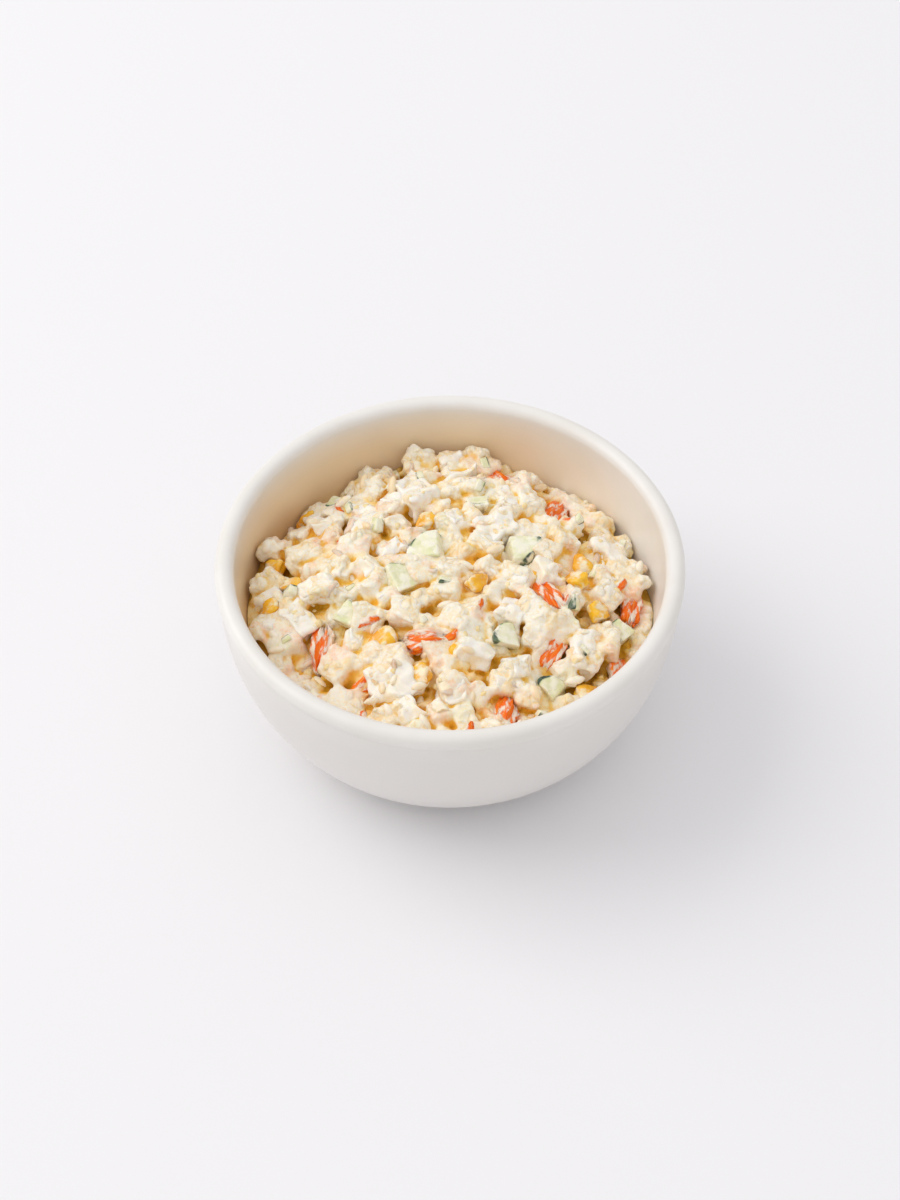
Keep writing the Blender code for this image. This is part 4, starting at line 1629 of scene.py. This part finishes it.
@dataclass(frozen=True)
class Strewing:
    """How one kind of small piece lies over the salad.

    Attributes:
        seed: of its places.
        tries: how many places are tried.
        spacing: least distance between two, in millimetres.
        sizes: length, width and height of one.
        vary: the share by which sizes differ.
        sink: how deep one lies, as a share of its half height.
        on_pieces: the share that stays where larger pieces show.
        rim: how much farther than the others it stays from the wall.
        patch: size of the patches that it gathers in, or 0 where it lies everywhere.
    """

    seed: int
    tries: int
    spacing: float
    sizes: tuple[float, float, float]
    vary: float
    sink: float
    on_pieces: float
    rim: float = 0.0
    patch: float = 0.0


RICE_GRAINS = Strewing(seed=31, tries=140, spacing=5.0, sizes=(6.2, 2.9, 2.6),
                       vary=0.12, sink=0.6, on_pieces=0.15)
YOLK_CRUMBS = Strewing(seed=33, tries=700, spacing=2.4, sizes=(2.8, 2.2, 1.8),
                       vary=0.35, sink=0.65, on_pieces=0.2, patch=9.0)
CRAB_FLAKES = Strewing(seed=35, tries=60, spacing=14.0, sizes=(7.0, 2.2, 1.2),
                       vary=0.35, sink=0.3, on_pieces=0.3, rim=1.5)
CUCUMBER_CUTS = Strewing(seed=37, tries=36, spacing=16.0, sizes=(4.6, 3.0, 2.6),
                         vary=0.35, sink=0.3, on_pieces=0.0, rim=1.5)


@dataclass
class Salad:
    """Everything in the bowl: the mass, the larger pieces and the crumbs on top."""

    form: HeapForm
    layout: Layout
    off_edge: float = 2.5
    patch_level: float = 0.22

    def build(self) -> None:
        """Make every piece of the salad."""
        form, layout = self.form, self.layout
        egg = EggWhiteDice(form)
        whites = egg.slabs(layout.places[Kind.EGG])
        small_whites = egg.dice(layout.places[Kind.DICE][::3], layout.dice_size)
        crab = CrabStrips(form).strips(layout.places[Kind.CRAB])
        cucumber = CucumberWedges(form).wedges(layout.places[Kind.CUCUMBER])
        corn = CornKernels(form).kernels(layout.places[Kind.CORN])
        bare = tree_of([*crab, *cucumber, *corn])
        shown = tree_of([grown(shape, 1.15) for shape in (*whites, *crab, *cucumber, *corn)])
        mass = DressedMass(form, layout).build(bare, shown, whites, DressedRice())
        surface = tree_of([shape_of(mass), *whites, *small_whites])
        flakes = [shred_shape(number) for number in range(16)]
        cuts = [sliver_shape(number) for number in range(70, 82)]
        crumbs = [lump_shape(number, 0.18) for number in range(50, 60)]
        crab += self.strewn(CRAB_FLAKES, flakes, surface, bare)
        cucumber += self.strewn(CUCUMBER_CUTS, cuts, surface, bare)
        grains = self.strewn(RICE_GRAINS, [grain_shape(10, 8)], surface, bare)
        self.add("egg_white_dice", whites + small_whites, EggWhite())
        self.add("crab_stick_strips", crab, CrabStick())
        self.add("cucumber_wedges", cucumber, Cucumber())
        self.add("sweetcorn_kernels", corn, SweetCorn())
        self.add("cooked_rice_grains", grains, CookedRice())
        self.add("egg_yolk_crumbs", self.strewn(YOLK_CRUMBS, crumbs, surface, bare), EggYolk())

    def strewn(self, strewing: Strewing, shapes: Sequence[Shape], surface: BVHTree,
               bare: BVHTree) -> list[Shape]:
        """Return the loose pieces of one kind.

        Args:
            strewing: how they lie.
            shapes: what is laid in turn, one unit across.
            surface: the finished salad.
            bare: the larger pieces, which stay mostly clear.

        Returns:
            The pieces at their places.
        """
        scatter = Scatter(surface, self.form, strewing.seed, bare, strewing.on_pieces)
        reach = self.form.bowl.inner_wall(self.form.edge_depth) - self.off_edge - strewing.rim
        places = scatter.places(strewing.tries, strewing.spacing, reach)
        if strewing.patch:
            shift = Vector((5.0, 0.0, 0.0))
            places = [place for place in places
                      if noise.noise(place[0] / strewing.patch + shift) > self.patch_level]
        return scatter.laid(shapes, places, strewing.sizes, strewing.vary, strewing.sink)

    def add(self, name: str, shapes: Sequence[Shape], finish: Finish) -> None:
        """Join shapes to one piece on the body."""
        finish_piece(joined(name, shapes), name, finish)


def main() -> None:
    """Build the studio, the bowl and the salad."""
    logging.basicConfig(level=logging.INFO, format="%(message)s")
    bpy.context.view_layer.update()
    Studio().build()
    bowl_form = BowlForm()
    form = HeapForm(bowl_form)
    Bowl(bowl_form).build(StonewareGlaze(), BareClay())
    Salad(form, Layout(form)).build()


if __name__ == "__main__":
    main()
